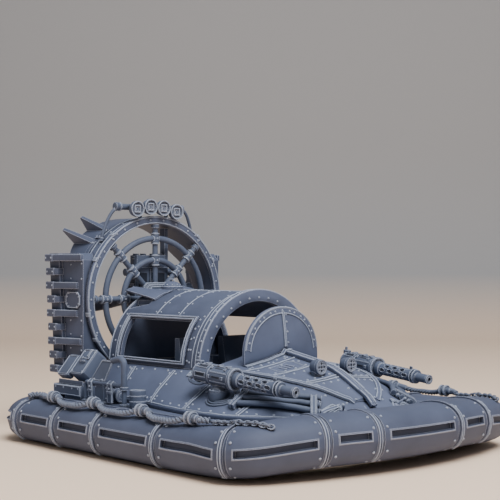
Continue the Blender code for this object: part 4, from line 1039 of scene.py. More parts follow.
def shroud_radius(x, a):
    """Radius of the perforated shroud: staggered oval holes, each with a raised lip."""
    row = int(round(a / (pi / 4))) % 8
    across = (a - round(a / (pi / 4)) * pi / 4) * SHROUD
    start = 11.0 + (HOLE_PITCH / 2 if row % 2 else 0.0)
    nearest = start + round((x - start) / HOLE_PITCH) * HOLE_PITCH
    if nearest < 10.4 or nearest > 22.0:
        return SHROUD
    far = sqrt(((x - nearest) / 1.05) ** 2 + (across / 0.56) ** 2)
    if far < 0.82:
        return SHROUD - 0.8
    if far < 1.02:
        return SHROUD - 0.2
    if far < 1.42:
        return SHROUD + 0.14
    return SHROUD


def dress_gun(label, side):
    """The gun on its swivel: banded drum, front disc, perforated shroud, collars, muzzle, sights and handle."""
    body = "gun_" + label
    place = (Matrix.Translation((GUN_X, side * GUN_Y, GUN_Z)) @ Matrix.Rotation(radians(-side * 5.0), 4, "Z")
             @ Matrix.Rotation(radians(5.0), 4, "Y"))
    turn = place.to_3x3()
    nose = turn @ AHEAD
    bm = bmesh.new()
    lathe(bm, ((-10.2, 1.2), (-9.9, 1.9), (-9.5, 2.4), (-8.9, 2.75), (-8.7, 2.95), (-8.2, 2.95), (6.1, 2.95),
               (6.2, 3.3), (6.35, 3.5), (7.0, 3.5), (7.15, 3.3), (7.2, 2.9), (6.9, 2.75), (6.9, 2.3),
               (9.1, 2.2), (9.2, 1.7)), place, 48)
    rings = []
    for i in range(SHROUD_STEPS + 1):
        x = SHROUD_START + (SHROUD_END - SHROUD_START) * i / SHROUD_STEPS
        ring = []
        for j in range(64):
            a = 2 * pi * j / 64
            r = shroud_radius(x, a)
            ring.append(place @ Vector((x, r * sin(a), r * cos(a))))
        rings.append(ring)
    skin(bm, rings)
    lathe(bm, ((23.3, 1.6), (23.4, 2.2), (23.6, 2.35), (24.0, 2.35), (24.15, 2.2), (24.2, 1.55), (24.7, 1.55),
               (24.75, 2.1), (24.9, 2.25), (25.3, 2.25), (25.45, 2.05), (25.5, 1.35), (26.0, 1.35)), place, 40)
    lathe(bm, ((25.7, 1.3), (25.8, 1.4), (30.2, 1.4), (30.3, 1.55), (30.8, 1.55), (31.0, 1.4), (31.0, 1.05),
               (30.85, 0.95), (30.85, 0.85), (31.0, 0.78), (31.0, 0.62), (29.6, 0.6)), place, 32)
    lathe(bm, ((-3.5, 2.4), (-3.45, 2.1), (-2.5, 2.1), (-2.45, 1.7), (0.0, 1.7)),
          upright(GUN_X, side * GUN_Y, GUN_Z), 28)
    piece(body + "_turned", bm, FITTING_RESIN, body=body, stands_for=(body,), crease=40)

    def drum_spot(x, deg, r=DRUM):
        a = radians(deg)
        out = Vector((0, side * sin(a), cos(a)))
        return place @ (Vector((x, 0, 0)) + out * r), turn @ out

    bm, dark, lips = meshes(3)
    strip(bm, [drum_spot(-2.3, 15 * k) for k in range(24)], 0.42, 0.22, loop=True)
    strip(bm, [drum_spot(-8.45, 15 * k, 2.85) for k in range(24)], 0.35, 0.2, loop=True)
    for deg in (-90, -32, 32, 90, 148, 212):
        # framed port at the rear of the drum, slot on its front, and a lug ahead of each
        strip(bm, [drum_spot(x, deg + d) for x, d in PORT_FRAME], 0.36, 0.26, loop=True)
        # the port's and the slot's insides are thin near-black blocks: painted shade
        for x, half, top in ((-5.4, 0.4, 0.05), (1.2, 0.28, 0.04)):
            at, up = drum_spot(x, deg)
            block(dark, (-1.6, -half, -0.4), (1.6, half, top), axes(at, nose, up), 0.03)
        for x in (-1.6, 3.9):
            at, up = drum_spot(x, deg)
            block(bm, (-0.45, -0.5, -0.3), (0.45, 0.5, 0.34), axes(at, nose, up), 0.1)
    for deg in (-61, 61, 119, 180, 241):
        strip(bm, [drum_spot(x, deg) for x in (-1.4, 1.4, 5.2)], 0.5, 0.16)
    for k in range(8):
        rivet(bm, (drum_spot(7.2, 22.5 + 45 * k, 3.12)[0], nose), 0.22, 0.16)
    # rear sight block, top cover with its three clips, front sight
    for low, high, chamfer in (((-10.0, -0.75, 2.2), (-7.3, 0.75, 3.7), 0.2),
                               ((-9.6, -0.3, 3.6), (-8.7, 0.3, 4.7), 0.12),
                               ((-6.4, -0.85, 2.75), (5.4, 0.85, 3.25), 0.15),
                               ((-5.1, -1.05, 3.1), (-4.1, 1.05, 3.55), 0.12),
                               ((-0.1, -1.05, 3.1), (0.9, 1.05, 3.55), 0.12),
                               ((3.3, -1.05, 3.1), (4.3, 1.05, 3.55), 0.12),
                               ((22.0, -0.22, 1.8), (23.2, 0.22, 2.95), 0.08)):
        block(bm, low, high, place, chamfer)
    # rear cap and the handle under it
    lathe(bm, ((-11.1, 0.5), (-11.0, 0.75), (-10.5, 0.8), (-10.4, 1.2), (-10.0, 1.25)), place, 20)
    tube(bm, [place @ Vector((x, -side * y, z)) for x, y, z in HANDLE], 0.5, 6, 12)
    piece(body + "_bands", bm, FITTING_RESIN, body=body, crease=35)
    for x, r in ((6.28, 3.4), (7.1, 3.36), (24.0, 2.3), (25.1, 2.2), (30.9, 1.46)):
        strip(lips, [drum_spot(x, 12 * k, r) for k in range(30)], 0.2, 0.09, loop=True)
    piece(body + "_lips", lips, HIGHLIGHT_RESIN, body=body, crease=35)
    piece(body + "_port_shade", dark, SHADE_RESIN, body=body, crease=30)


for label, side in SIDES:
    dress_gun(label, side)

# collar with bolts on each pedestal, and cables laid round its foot
for label, side in SIDES:
    bm, cables = meshes(2)
    lathe(bm, ((20.3, 2.6), (20.35, 3.0), (20.5, 3.12), (20.9, 3.12), (21.05, 2.95), (21.1, 2.5)),
          upright(GUN_X, side * GUN_Y), 32)
    for k in range(8):
        a = 2 * pi * k / 8 + 0.2
        rivet(bm, ((GUN_X + 2.75 * cos(a), side * GUN_Y + 2.75 * sin(a), 21.08), UP), 0.26, 0.2)
    for reach, thick in ((3.8, 0.4), (4.7, 0.4), (5.6, 0.34)):
        knots = []
        for k in range(11):
            a = radians(-50 + 18 * k)
            y = side * (GUN_Y - 0.8 + reach * sin(a) * 0.86)
            spot = land(hull_tree, over(GUN_X + 1.0 + reach * cos(a), y))
            if spot:
                knots.append(spot[0] + spot[1] * thick * 0.55)
        tube(cables, knots, thick, 3, 8)
    piece("gun_mount_" + label + "_collar", bm, FITTING_RESIN, crease=35)
    piece("gun_mount_" + label + "_cables", cables, KIT_RESIN, crease=60)

# Hoses

HOSE_TRACKS = (((28.6, 33.6), (34.0, 31.4), (42.3, 26.3), (47.2, 22.8), (51.4, 19.5)),
               ((28.3, 30.9), (33.4, 28.9), (40.9, 25.0), (45.4, 21.3), (49.6, 17.5)),
               ((28.2, 28.0), (32.8, 26.8), (39.4, 23.5), (43.8, 19.6), (47.8, 15.4)))

for label, side in SIDES:
    bm, straps = meshes(2)
    ends = []
    for track in HOSE_TRACKS:
        starts = curve_points([over(x, side * y) for x, y in track], 3)
        knots = [at + up * 1.2 for at, up in (land(hull_tree, q) for q in starts)]
        tube(bm, knots, 0.9, 2, 16)
        ends.append((knots[1], knots[-2]))
    # a strap over the three hoses near each end, and lugs on the one at the bow
    for which, wide, reach in ((0, 1.9, 1.75), (1, 2.0, 1.9)):
        low, mid, top = (pair[which] for pair in ends)
        at, up = land(hull_tree, over(mid.x, mid.y))
        place = axes(at + up * 1.05, (low - top).normalized().cross(up), up)
        half = (low - top).length / 2 + 1.15
        ledge = half - 0.6
        roof = reach - 0.8
        section = ((-half, -1.0), (half, -1.0), (half, 0.75), (ledge, roof), (-ledge, roof), (-half, 0.75))
        skin(straps, [[place @ Vector((dx, a, b)) for a, b in section] for dx in (-wide / 2, wide / 2)])
        for dx in (-wide / 2 + 0.25, wide / 2 - 0.25):
            line = [(place @ Vector((dx, a, b)), place.to_3x3() @ Vector((0, p, q)))
                    for a, b, p, q in ((-half, -0.6, -1, 0), (-half, 0.75, -0.8, 0.5), (-ledge, roof, -0.3, 1),
                                       (ledge, roof, 0.3, 1), (half, 0.75, 0.8, 0.5), (half, -0.6, 1, 0))]
            strip(straps, line, 0.45, 0.24)
        if which:
            hand = 1 if place.to_3x3().col[0].x > 0 else -1
            for a in (-1.9, 1.9):
                lug = place @ Matrix.Translation((hand * wide / 2, a, -0.1)) @ Matrix.Diagonal((hand, 1, 1, 1))
                lathe(straps, ((0.0, 0.65), (0.7, 0.65), (0.8, 0.5), (1.2, 0.5), (1.3, 0.3)), lug, 14)
    piece("hoses_" + label + "_round", bm, KIT_RESIN, stands_for=("hoses_" + label,), crease=60)
    piece("hoses_" + label + "_straps", straps, KIT_RESIN, crease=30)

# Lamps

# the fan's axis, the casing's radius, and the faces of the rim and the guard
FAN_Z = 46.3
CASING = 29.5
RIM_X = -52.0
GUARD_X = -53.2
HEADLAMP_Y = 6.5

for label, side in SIDES:
    bm, dark = meshes(2)
    place = Matrix.Translation((37.6, side * HEADLAMP_Y, 27.5))
    lathe(bm, ((-2.2, 0.9), (-2.1, 1.25), (-1.6, 1.9), (-1.2, 2.1), (0.9, 2.25), (1.0, 2.35), (1.5, 2.35),
               (1.9, 2.3), (2.0, 2.2), (2.0, 1.95), (1.9, 1.85), (1.45, 1.8)), place, 40)
    for y in (-0.58, 0.58):
        block(bm, (1.3, y - 0.2, -1.75), (1.85, y + 0.2, 1.75), place, 0.06)
        block(bm, (1.3, -1.75, y - 0.2), (1.87, 1.75, y + 0.2), place, 0.06)
    lathe(bm, ((1.3, 1.95), (1.75, 1.9), (1.88, 1.8), (1.88, 1.5), (1.4, 1.45)), place, 32, True)
    foot = land(bow_tree, over(37.2, side * HEADLAMP_Y))[0].z
    lathe(bm, ((foot - 0.6, 1.75), (foot + 0.9, 1.75), (foot + 1.05, 1.6), (foot + 1.1, 1.45), (26.2, 1.45)),
          upright(37.2, side * HEADLAMP_Y), 28)
    # a near-black disc behind the lamp's grille: painted shade in its face
    lathe(dark, ((1.2, 1.5), (1.46, 1.5)), place, 24)
    piece("headlamp_" + label + "_shell", bm, FITTING_RESIN, stands_for=("headlamp_" + label,), crease=35)
    piece("headlamp_" + label + "_face_shade", dark, SHADE_RESIN, crease=30)

for i, (y, z) in enumerate(((-10.0, 78.5), (-4.1, 79.4), (1.8, 79.1), (7.7, 77.9))):
    bm, lips = meshes(2)
    name = "bar_lamp_" + str(i + 1)
    place = Matrix.Translation((-51.75, y, z))
    lathe(bm, ((-1.2, 1.2), (-1.1, 1.5), (-0.7, 2.3), (-0.4, 2.55), (0.5, 2.7), (0.6, 2.85), (1.3, 2.85),
               (1.8, 2.75), (1.9, 2.6), (1.9, 2.4), (1.8, 2.3), (1.35, 2.25)), place, 40)
    for a, b in (((1.2, -1.35, -1.3), (1.75, -0.95, 1.3)), ((1.2, 0.95, -1.3), (1.75, 1.35, 1.3)),
                 ((1.2, -1.35, 0.95), (1.75, 1.35, 1.35)), ((1.2, -1.35, -1.35), (1.75, 1.35, -0.95)),
                 ((1.2, -0.5, -0.5), (1.42, 0.5, 0.5))):
        block(bm, a, b, place, 0.07)
    block(bm, (-1.6, -0.5, -0.9), (-0.6, 0.5, 0.9), place, 0.12)
    piece(name + "_shell", bm, FITTING_RESIN, stands_for=(name,), crease=35)
    ring = [(1.84, 2.66 * sin(radians(12 * k)), 2.66 * cos(radians(12 * k))) for k in range(30)]
    square = [(1.72, a, b) for a, b in ((-1.15, -1.15), (1.15, -1.15), (1.15, 1.15), (-1.15, 1.15))]
    for outline in (ring, square):
        strip(lips, [(place @ Vector(q), AHEAD) for q in outline], 0.3, 0.1, loop=True)
    piece(name + "_lips", lips, HIGHLIGHT_RESIN, crease=35)

bm = bmesh.new()
bar = Matrix.Translation((-54.2, 0, 79.3)) @ Matrix.Rotation(radians(90), 4, "Z")
lathe(bm, ((-17.2, 1.2), (-17.15, 1.45), (-16.9, 1.6), (-16.5, 1.6), (-16.3, 1.45), (-15.3, 1.45), (-15.2, 1.6),
           (-14.9, 1.6), (-14.8, 1.1), (12.6, 1.1), (12.7, 1.35), (13.3, 1.35), (13.4, 1.1)), bar, 28)
# the bar's bent ends reach down to the casing, and two posts stand on it
for y0, y1, drop in ((-15.4, -21.8, 11.2), (12.9, 19.0, 8.4)):
    knots = []
    for t in [i / 6 for i in range(7)]:
        knots.append(Vector((-54.2 - 1.8 * t, y0 + (y1 - y0) * t ** 0.8, 78.8 - drop * t ** 1.7)))
    last = knots[-1]
    reach = (CASING + 0.7) / sqrt(last.y ** 2 + (last.z - FAN_Z) ** 2)
    knots[-1] = Vector((last.x, last.y * reach, FAN_Z + (last.z - FAN_Z) * reach))
    tube(bm, knots, 0.6, 4, 12, up=AHEAD)
    foot = axes(knots[-1], knots[-1] - knots[-2], AHEAD)
    lathe(bm, ((-0.7, 0.55), (-0.65, 0.85), (0.4, 0.85), (0.5, 0.6)), foot, 16)
for side in (-1, 1):
    foot = FAN_Z + sqrt(CASING ** 2 - 5.2 ** 2) + 0.1
    lathe(bm, ((foot, 0.75), (79.3, 0.75)), upright(-54.5, side * 5.9), 16)
piece("lamp_bar_round", bm, FITTING_RESIN, stands_for=("lamp_bar",), crease=40)

# Fan duct


def duct_spot(x, deg, radius=CASING):
    """Spot on a cylinder about the fan's axis; deg runs from the top towards starboard."""
    a = radians(deg)
    out = Vector((0, -sin(a), cos(a)))
    return Vector((x, 0, FAN_Z)) + out * radius, out


strips, rivets, plates, ribs = meshes(4)
for radius, wide in ((29.62, 0.5), (27.5, 0.34)):
    strip(strips, [(duct_spot(RIM_X, 6 * k, radius)[0], AHEAD) for k in range(60)], wide, 0.24, loop=True)
for k in range(30):
    rivet(rivets, (duct_spot(RIM_X, 6 + 12 * k, 28.55)[0], AHEAD), 0.42, 0.3)
# hoops round the casing behind the rim, with a row of rivets between them
for x in (-54.6, -58.3):
    strip(strips, [duct_spot(x, 6 * k) for k in range(60)], 0.4, 0.24, loop=True)
for k in range(30):
    rivet(rivets, duct_spot(-56.4, 12 * k), 0.4, 0.28)
# clamps over the rim's outer edge, each with two bolts
for deg in (-118, -100, -62, -40, 40, 62, 100, 118):
    at, out = duct_spot(RIM_X, deg, 29.9)
    place = axes(at, AHEAD, out)
    block(rivets, (-1.9, -0.75, -0.6), (0.35, 0.75, 0.35), place, 0.12)
    for dy in (-1.35, 1.35):
        rivet(rivets, (place @ Vector((0.0, dy, -0.9)), AHEAD), 0.34, 0.28)
# riveted patches on the casing's shoulders
# radius of the patches' outer face
PATCH = 29.95
for side in (-1, 1):
    for mid, x0, x1, half in ((53.0, -61.5, -59.3, 6.5), (38.0, -62.0, -59.2, 5.0)):
        section = ((x0, 29.2), (x0, PATCH), (x1, PATCH), (x1, 29.2))
        skin(plates, [[duct_spot(x, -side * deg, r)[0] for x, r in section]
                      for deg in (mid - half, mid, mid + half)])
        for deg in (mid - half + 1.5, mid + half - 1.5):
            for x in (x0 + 0.6, x1 - 0.6):
                rivet(rivets, duct_spot(x, -side * deg, PATCH), 0.32, 0.24)
# eight-sided access plate on each cheek, and rivets down the cheek:
# the cheek's face, and the plate's corners
CHEEK = 30.7
ACCESS = ((-64.2, 47.6), (-62.8, 49.0), (-56.6, 49.0), (-55.2, 47.6),
          (-55.2, 44.6), (-56.6, 43.3), (-62.8, 43.3), (-64.2, 44.6))
for side in (-1, 1):
    out = Vector((0, side, 0))
    low, face = ([Vector((x, side * y, z)) for x, z in ACCESS] for y in (30.5, 31.2))
    centre = Vector((-59.7, side * 31.2, 46.15))
    skin(plates, [low, face])
    strip(strips, [(q.lerp(centre, 0.06), out) for q in face], 0.36, 0.16, loop=True)
    for q in face:
        rivet(rivets, (q.lerp(centre, 0.2), out), 0.32, 0.24)
    for x, heights, radius, rise in ((-54.9, (59.0, 53.6, 39.0, 33.6, 28.6, 23.8), 0.38, 0.28),
                                     (-61.6, (58.6, 53.7, 43.9, 39.0, 34.1, 29.2, 24.4), 0.34, 0.26)):
        for z in heights:
            rivet(rivets, ((x, side * CHEEK, z), out), radius, rise)
# ribs of the rack: a block on each end with two bolts, and a line along the rib
RIB_TOP = 61.0
RIB_PITCH = 4.9
RACK_LOW = RIB_TOP - RIB_PITCH * 8 - 1.6
RACK_TOP = RIB_TOP + 1.6
for side in (-1, 1):
    for i, reach in enumerate((-54.2, 0, -57.0, 0, -57.0, 0, -54.8, 0, 0)):
        z = RIB_TOP - RIB_PITCH * i
        x = -66.6 - 3.3 * (z - RACK_LOW) / (RACK_TOP - RACK_LOW)
        deep = 34.0 if reach else 33.6
        block(ribs, (x - 3.4, deep - 0.5, z - 1.35), (x + 1.6, deep + 0.45, z + 1.35),
              Matrix.Diagonal((1, side, 1, 1)), 0.2)
        for dx in (-2.6, 0.8):
            rivet(rivets, ((x + dx, side * (deep + 0.45), z), (0, side, 0)), 0.36, 0.26)
        line = [(x - 4.6, 32.6), (x - 3.4, 33.7), (x + 1.8, 33.6)] + ([(reach - 0.4, 31.2)] if reach else [])
        strip(strips, [(Vector((at_x, side * y, z + 1.1)), UP) for at_x, y in line], 0.3, 0.14)
piece("duct_lines", strips, HIGHLIGHT_RESIN)
piece("duct_rivets", rivets, HIGHLIGHT_RESIN)
piece("duct_plates", plates, HULL_RESIN)
piece("rack_rib_ends", ribs, HULL_RESIN)

# Guard and engine

GUARD_RINGS = (21.8, 13.9)
bm, lines = meshes(2)
for radius in GUARD_RINGS:
    points = [duct_spot(GUARD_X, 5 * k, radius)[0] for k in range(72)]
    skin(bm, swept(points, [AHEAD] * 72, round_profile(1.1, 16), loop=True), loop=True)
for k in range(8):
    place = axes(Vector((GUARD_X, 0, FAN_Z)), duct_spot(GUARD_X, 45 * k)[1], AHEAD)
    lathe(bm, ((4.0, 1.0), (26.9, 1.0), (26.95, 0.6)), place, 16)
    for r in GUARD_RINGS:
        lathe(bm, ((r - 2.0, 0.9), (r - 1.95, 1.45), (r + 1.95, 1.45), (r + 2.0, 0.9)), place, 20)
        for d in (r - 1.75, r + 1.75):
            lathe(lines, ((d - 0.25, 1.3), (d - 0.2, 1.58), (d + 0.2, 1.58), (d + 0.25, 1.3)), place, 20)
        rivet(lines, (place @ Vector((r, 0, 1.4)), AHEAD), 0.42, 0.3)
    lathe(bm, ((25.6, 0.95), (25.7, 1.5), (26.9, 1.6), (26.95, 0.9)), place, 16)
# eight-sided hub in three steps
for x0, x1, far, flat in ((-1.3, 1.1, 5.8, 4.4), (0.9, 1.75, 5.1, 3.8), (1.6, 2.4, 4.4, 3.2)):
    corners = ((flat, far), (far, flat), (far, -flat), (flat, -far),
               (-flat, -far), (-far, -flat), (-far, flat), (-flat, far))
    skin(bm, [[Vector((GUARD_X + x, y, FAN_Z + z)) for y, z in corners] for x in (x0, x1)])
    rim = [(Vector((GUARD_X + x1, y * 0.95, FAN_Z + z * 0.95)), AHEAD) for y, z in corners]
    strip(lines, rim, 0.3, 0.12, loop=True)
piece("fan_guard_round", bm, FITTING_RESIN, stands_for=("fan_guard",), crease=40)
piece("fan_guard_lips", lines, HIGHLIGHT_RESIN, crease=40)

bm, dark = meshes(2)
for side in (-1, 1):
    mirror = Matrix.Diagonal((1, side, 1, 1))
    for heights, y0, y1 in (((36.0, 38.2, 40.4, 42.6), 6.9, 8.3),
                            ((49.2, 51.4, 53.6), 6.2, 8.2 if side < 0 else 6.8)):
        for z in heights:
            block(bm, (-59.8, y0, z - 0.45), (-55.6, y1, z + 0.45), mirror, 0.1)
    for y in (2.2, 5.4):
        lathe(bm, ((57.0, 1.2), (60.6, 1.2), (60.7, 1.45), (61.6, 1.45), (61.7, 1.2), (62.6, 1.1)),
              upright(-57.7, side * y), 16)
    # thin near-black plates on the engine's face beside the fins: painted shade standing for recesses
    for low, top in ((49.0, 55.6), (34.6, 39.4)):
        block(dark, (-55.4, side * 4.0 - 1.9, low), (-55.12, side * 4.0 + 1.9, top), Matrix(), 0.08)
block(bm, (-55.6, -0.9, 33.6), (-54.7, 0.9, 57.0), Matrix(), 0.15)
for z in (35.2, 39.6, 52.6, 56.0):
    rivet(bm, ((-54.7, 0, z), AHEAD), 0.4, 0.3)
piece("engine_fins", bm, FITTING_RESIN, crease=35)
piece("engine_recess_shade", dark, SHADE_RESIN, crease=35)

# Hatch and scoops

HATCH_X = -43.1
bm = bmesh.new()
lathe(bm, ((0.0, 3.9), (0.75, 3.9), (0.9, 3.75), (0.9, 3.35), (1.05, 3.25), (1.5, 3.05), (2.0, 2.6), (2.4, 1.9),
           (2.65, 1.0), (2.7, 0.3)), upright(HATCH_X, 0, 49.9), 40)
piece("roof_hatch_dome", bm, PANEL_RESIN, stands_for=("roof_hatch",), crease=35)
bm = bmesh.new()
ring = [(HATCH_X + 3.62 * cos(radians(12 * k)), 3.62 * sin(radians(12 * k)), 50.8) for k in range(30)]
strip(bm, [(Vector(q), UP) for q in ring], 0.32, 0.14, loop=True)
for k in range(10):
    a = radians(36 * k)
    rivet(bm, ((HATCH_X + 3.0 * cos(a), 3.0 * sin(a), 51.42), (0.5 * cos(a), 0.5 * sin(a), 1)), 0.3, 0.24)
tube(bm, [(-44.3, 0, 52.3), (-44.1, 0, 53.2), (-42.1, 0, 53.2), (-41.9, 0, 52.3)], 0.26, 5, 8, up=PORTWARD)
scoop_tree = tree_of("scoop_starboard", "scoop_port")
for side in (-1, 1):
    for deg in (8.0, 52.0):
        spots = [round_cabin(-37.0 - 12.6 * k / 8, 90 + side * deg, scoop_tree) for k in range(9)]
        if len(spots) - spots.count(None) > 2:
            strip(bm, spots, 0.34, 0.16)
piece("roof_lines", bm, HIGHLIGHT_RESIN)

# Rails and stowage

FLOOR = 13.6
RAIL_Y = 40.6
for label, side in SIDES:
    bm = bmesh.new()
    y = side * RAIL_Y
    # the bent post, the rail and the rail's legs
    lathe(bm, ((FLOOR, 1.5), (FLOOR + 0.45, 1.5), (FLOOR + 0.5, 0.8), (18.6, 0.8), (18.65, 1.35), (19.5, 1.35),
               (19.55, 1.0)), upright(-15.3, y), 20)
    post = ((-15.3, 19.2), (-15.3, 23.0), (-15.3, 26.2), (-15.8, 27.7), (-17.2, 28.4), (-19.4, 28.1),
            (-21.7, 27.6))
    rail = ((-37.2, FLOOR), (-37.2, 16.5), (-37.2, 18.7), (-36.4, 19.8), (-34.0, 19.8), (-25.0, 19.8),
            (-15.4, 19.8))
    for bend, radius, sides in ((post, 1.02, 16), (rail, 0.7, 14)):
        tube(bm, [(x, y, z) for x, z in bend], radius, 6, sides, up=PORTWARD)
    for x, tall in ((-26.4, 19.7), (-37.2, 15.0)):
        lathe(bm, ((FLOOR, 1.3), (FLOOR + 0.4, 1.3), (FLOOR + 0.45, 0.6), (tall, 0.6)), upright(x, y), 16)
    piece("railing_" + label + "_round", bm, FITTING_RESIN, stands_for=("railing_" + label,), crease=40)

strips, straps, rivets, sheet = meshes(4)
OUT = Vector((0, -1, 0))
# the box's face plate, and two straps with a panel between them that hang from the rail
block(straps, (-56.0, -41.3, 14.5), (-39.7, -40.9, 17.9), Matrix(), 0.12)
corners = ((-55.7, 14.8), (-40.0, 14.8), (-40.0, 17.6), (-55.7, 17.6))
strip(strips, [(Vector((x, -41.3, z)), OUT) for x, z in corners], 0.3, 0.14, loop=True)
for x in (-54.6, -49.8, -44.6, -41.0):
    rivet(rivets, ((x, -41.3, 17.0), OUT), 0.36, 0.28)
for x, low, wide in ((-33.4, 15.4, 2.0), (-22.2, 14.1, 2.4)):
    hook = ((-41.25, low, OUT), (-41.35, 18.4, OUT), (-41.5, 20.1, OUT), (-40.7, 20.75, UP),
            (-39.9, 20.1, PORTWARD), (-39.8, 18.6, PORTWARD))
    strip(straps, [(Vector((x, y, z)), up) for y, z, up in hook], wide, 0.3, lines=strips)
    rivet(rivets, ((x, -41.75, 18.6), OUT), 0.42, 0.3)
    block(straps, (x - wide / 2 - 0.2, -41.95, 17.0), (x + wide / 2 + 0.2, -41.3, 17.7), Matrix(), 0.12)
block(straps, (-31.6, -40.9, 14.4), (-24.4, -40.4, 19.3), Matrix(), 0.15)
for x in (-31.0, -25.0):
    for z in (18.6, 15.2):
        rivet(rivets, ((x, -40.9, z), OUT), 0.34, 0.26)
# the wedge that the leaning cases rest on
wedge = ((-38.45, 18.2), (-40.4, 18.2), (-40.4, 19.7))
skin(straps, [[Vector((x, y, z)) for y, z in wedge] for x in (-54.0, -39.4)])
# leaning cases: a bead round each face, a handle and latches
lean = radians(50)
rise = Vector((0, cos(lean), sin(lean)))
face_up = Vector((0, -sin(lean), cos(lean)))


def case_spot(x, share):
    """Spot on a leaning case's outer face."""
    return Vector((x, -38.3, 18.35 + 5.0 * cos(lean))) + rise * share, face_up


for corners, wide, tall in ((((-50.5, 0.5), (-43.7, 0.5), (-43.7, 9.9), (-50.5, 9.9)), 0.4, 0.2),
                            (((-49.4, 6.6), (-44.8, 6.6)), 0.3, 0.16),
                            (((-57.3, -0.4), (-52.0, -0.4), (-52.0, 7.0), (-57.3, 7.0)), 0.36, 0.18)):
    strip(strips, [case_spot(x, q) for x, q in corners], wide, tall, loop=len(corners) > 2)
for x in (-49.0, -45.2):
    at, up = case_spot(x, 6.6)
    block(straps, (-0.5, -0.45, -0.2), (0.5, 0.45, 0.42), axes(at, rise, up), 0.1)
at, up = case_spot(-47.1, 5.0)
handle = [at + AHEAD * dx + up * lift for dx, lift in ((-1.5, 0.0), (-1.3, 0.7), (1.3, 0.7), (1.5, 0.0))]
tube(straps, handle, 0.26, 4, 10, up=rise)
for x in (-50.0, -44.2):
    for q in (1.2, 9.2):
        rivet(rivets, case_spot(x, q), 0.3, 0.24)
# strap over the leaning case, and the sheet between the rail and the bent post
strip(straps, [case_spot(-46.2, q) for q in (10.2, 8.4, 7.2)], 1.0, 0.3, lines=strips)
foot = [Vector((x, -40.3, 20.3)) for x in (-34.2, -30.4, -26.6)]
head = [Vector((x, -38.4, 27.4)) for x in (-30.0, -27.2, -24.4)]
out = Vector((0, -1, 0.25)).normalized()
skin(sheet, [[a - out * 0.3, b - out * 0.3, b + out * 0.3, a + out * 0.3] for a, b in zip(foot, head)])
corners = ((foot[0], head[0]), (foot[2], head[2]), (head[2], foot[2]), (head[0], foot[0]))
strip(strips, [(a.lerp(b, 0.06) + Vector((0, -0.32, 0.05)), OUT) for a, b in corners], 0.36, 0.16, loop=True)
for k in range(4):
    rivet(rivets, (head[0].lerp(head[2], 0.12 + 0.25 * k) - Vector((0, 0.1, 0.9)), OUT), 0.34, 0.3)
for x in (-32.6, -28.0):
    block(sheet, (x - 0.5, -40.9, 19.4), (x + 0.5, -39.9, 21.2), Matrix(), 0.12)
piece("stowage_sheet", sheet, KIT_RESIN, crease=35)

bm = bmesh.new()
roll = Matrix.Translation((-27.0, -36.8, 15.95))
ROLL_HALF = ((5.0, 0.5), (5.0, 0.9), (4.8, 1.0), (4.9, 1.3), (4.9, 1.6), (4.75, 1.7), (4.85, 1.95), (4.7, 2.2),
             (4.2, 2.28), (2.9, 2.24), (2.6, 2.05), (2.2, 2.05), (1.9, 2.25))
lathe(bm, [(-x, r) for x, r in ROLL_HALF] + [(0.0, 2.3)] + list(reversed(ROLL_HALF)), roll, 32)
for x in (-2.4, 2.4):
    lathe(bm, ((x - 0.42, 1.9), (x - 0.38, 2.26), (x + 0.38, 2.26), (x + 0.42, 1.9)), roll, 28)
piece("bedroll_round", bm, KIT_RESIN, stands_for=("bedroll",), crease=40)
bm = bmesh.new()
keg = upright(-9.4, -39.6, FLOOR)
lathe(bm, ((0.0, 2.4), (0.1, 2.55), (0.3, 2.6), (1.65, 2.6), (1.75, 2.7), (2.0, 2.7), (2.1, 2.6), (3.4, 2.6),
           (3.5, 2.7), (3.75, 2.7), (3.85, 2.6), (5.2, 2.6), (5.4, 2.55), (5.5, 2.45), (5.5, 2.2), (5.3, 2.15)),
           keg, 36)
lathe(bm, ((5.1, 0.75), (5.45, 0.75), (5.5, 0.6)), keg @ Matrix.Translation((0, 0.9, 0.4)), 16)
piece("stowage_drum_round", bm, KIT_RESIN, stands_for=("stowage_drum",), crease=35)
piece("stowage_lines", strips, HIGHLIGHT_RESIN)
piece("stowage_straps", straps, KIT_RESIN, crease=35)
piece("stowage_rivets", rivets, HIGHLIGHT_RESIN)

# Camera, floor and light

view = bpy.data.cameras.new("photo_view")
view.lens = 86.4
view.sensor_width = 36.0
view.clip_start = 0.01
camera = bpy.data.objects.new("photo_view", view)
camera.location = (0.29818, -0.26342, 0.0590)
camera.rotation_euler = (radians(90.64), 0.0, radians(48.62))
bpy.context.scene.collection.objects.link(camera)
bpy.context.scene.camera = camera


CARD_TONE = (0.97, 0.745, 0.565, 1.0)
BACKDROP_TONE = (0.43, 0.43, 0.44, 1.0)


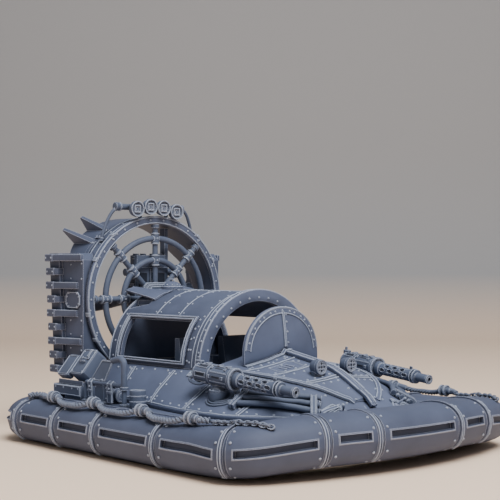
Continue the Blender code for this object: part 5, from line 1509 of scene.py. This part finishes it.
def studio():
    """A pale table that sweeps up into a plain backdrop."""
    bm = bmesh.new()
    ahead = Vector((-0.75, 0.661, 0.0))
    across = Vector((0.661, 0.75, 0.0))
    half_width = 900.0
    bend = 520.0
    radius = 160.0
    line = [(-500.0, 0.0), (200.0, 0.0), (bend, 0.0)]
    for k in range(1, 9):
        a = pi / 2 * k / 8
        line.append((bend + radius * sin(a), radius * (1 - cos(a))))
    line.append((bend + radius, 900.0))
    edge = [bm.verts.new(ahead * d + across * -half_width + UP * z) for d, z in line]
    lines = [bm.edges.new(pair) for pair in zip(edge, edge[1:])]
    wide = bmesh.ops.extrude_edge_only(bm, edges=lines)["geom"]
    verts = [g for g in wide if isinstance(g, bmesh.types.BMVert)]
    bmesh.ops.translate(bm, vec=across * (2 * half_width), verts=verts)
    obj = to_object("table_sweep", bm)
    mat = bpy.data.materials.new("table_card")
    mat.use_nodes = True
    tree = mat.node_tree
    shader = tree.nodes["Principled BSDF"]
    shader.inputs["Roughness"].default_value = 0.9
    place = add_node(tree, "ShaderNodeTexCoord")
    split = add_node(tree, "ShaderNodeSeparateXYZ")
    rise = add_node(tree, "ShaderNodeMapRange", {"From Min": 0.0, "From Max": 0.05})
    tone = add_node(tree, "ShaderNodeMix", {"A": CARD_TONE, "B": BACKDROP_TONE}, data_type="RGBA")
    wire(tree, (place, "Object", split, "Vector"), (split, "Z", rise, "Value"), (rise, "Result", tone, "Factor"),
         (tone, "Result", shader, "Base Color"))
    obj.data.materials.append(mat)


studio()


def softbox(name, at, aim, size, power):
    """A square soft light that looks at a point."""
    lamp = bpy.data.lights.new(name, "AREA")
    lamp.shape = "SQUARE"
    lamp.size = size
    lamp.energy = power
    obj = bpy.data.objects.new(name, lamp)
    obj.location = at
    obj.rotation_euler = (Vector(aim) - Vector(at)).to_track_quat("-Z", "Y").to_euler()
    bpy.context.scene.collection.objects.link(obj)


softbox("key_light", (0.33, -0.10, 0.60), (0.0, 0.0, 0.02), 0.42, 6.0)
softbox("overhead_light", (0.10, 0.06, 0.66), (0.0, 0.0, 0.0), 0.50, 1.2)
softbox("side_fill", (0.20, -0.55, 0.22), (0.0, 0.0, 0.03), 0.5, 0.25)
room = bpy.data.worlds.new("soft_room")
room.use_nodes = True
sky = room.node_tree.nodes["Background"]
sky.inputs["Color"].default_value = (0.62, 0.64, 0.68, 1.0)
sky.inputs["Strength"].default_value = 0.33
bpy.context.scene.world = room
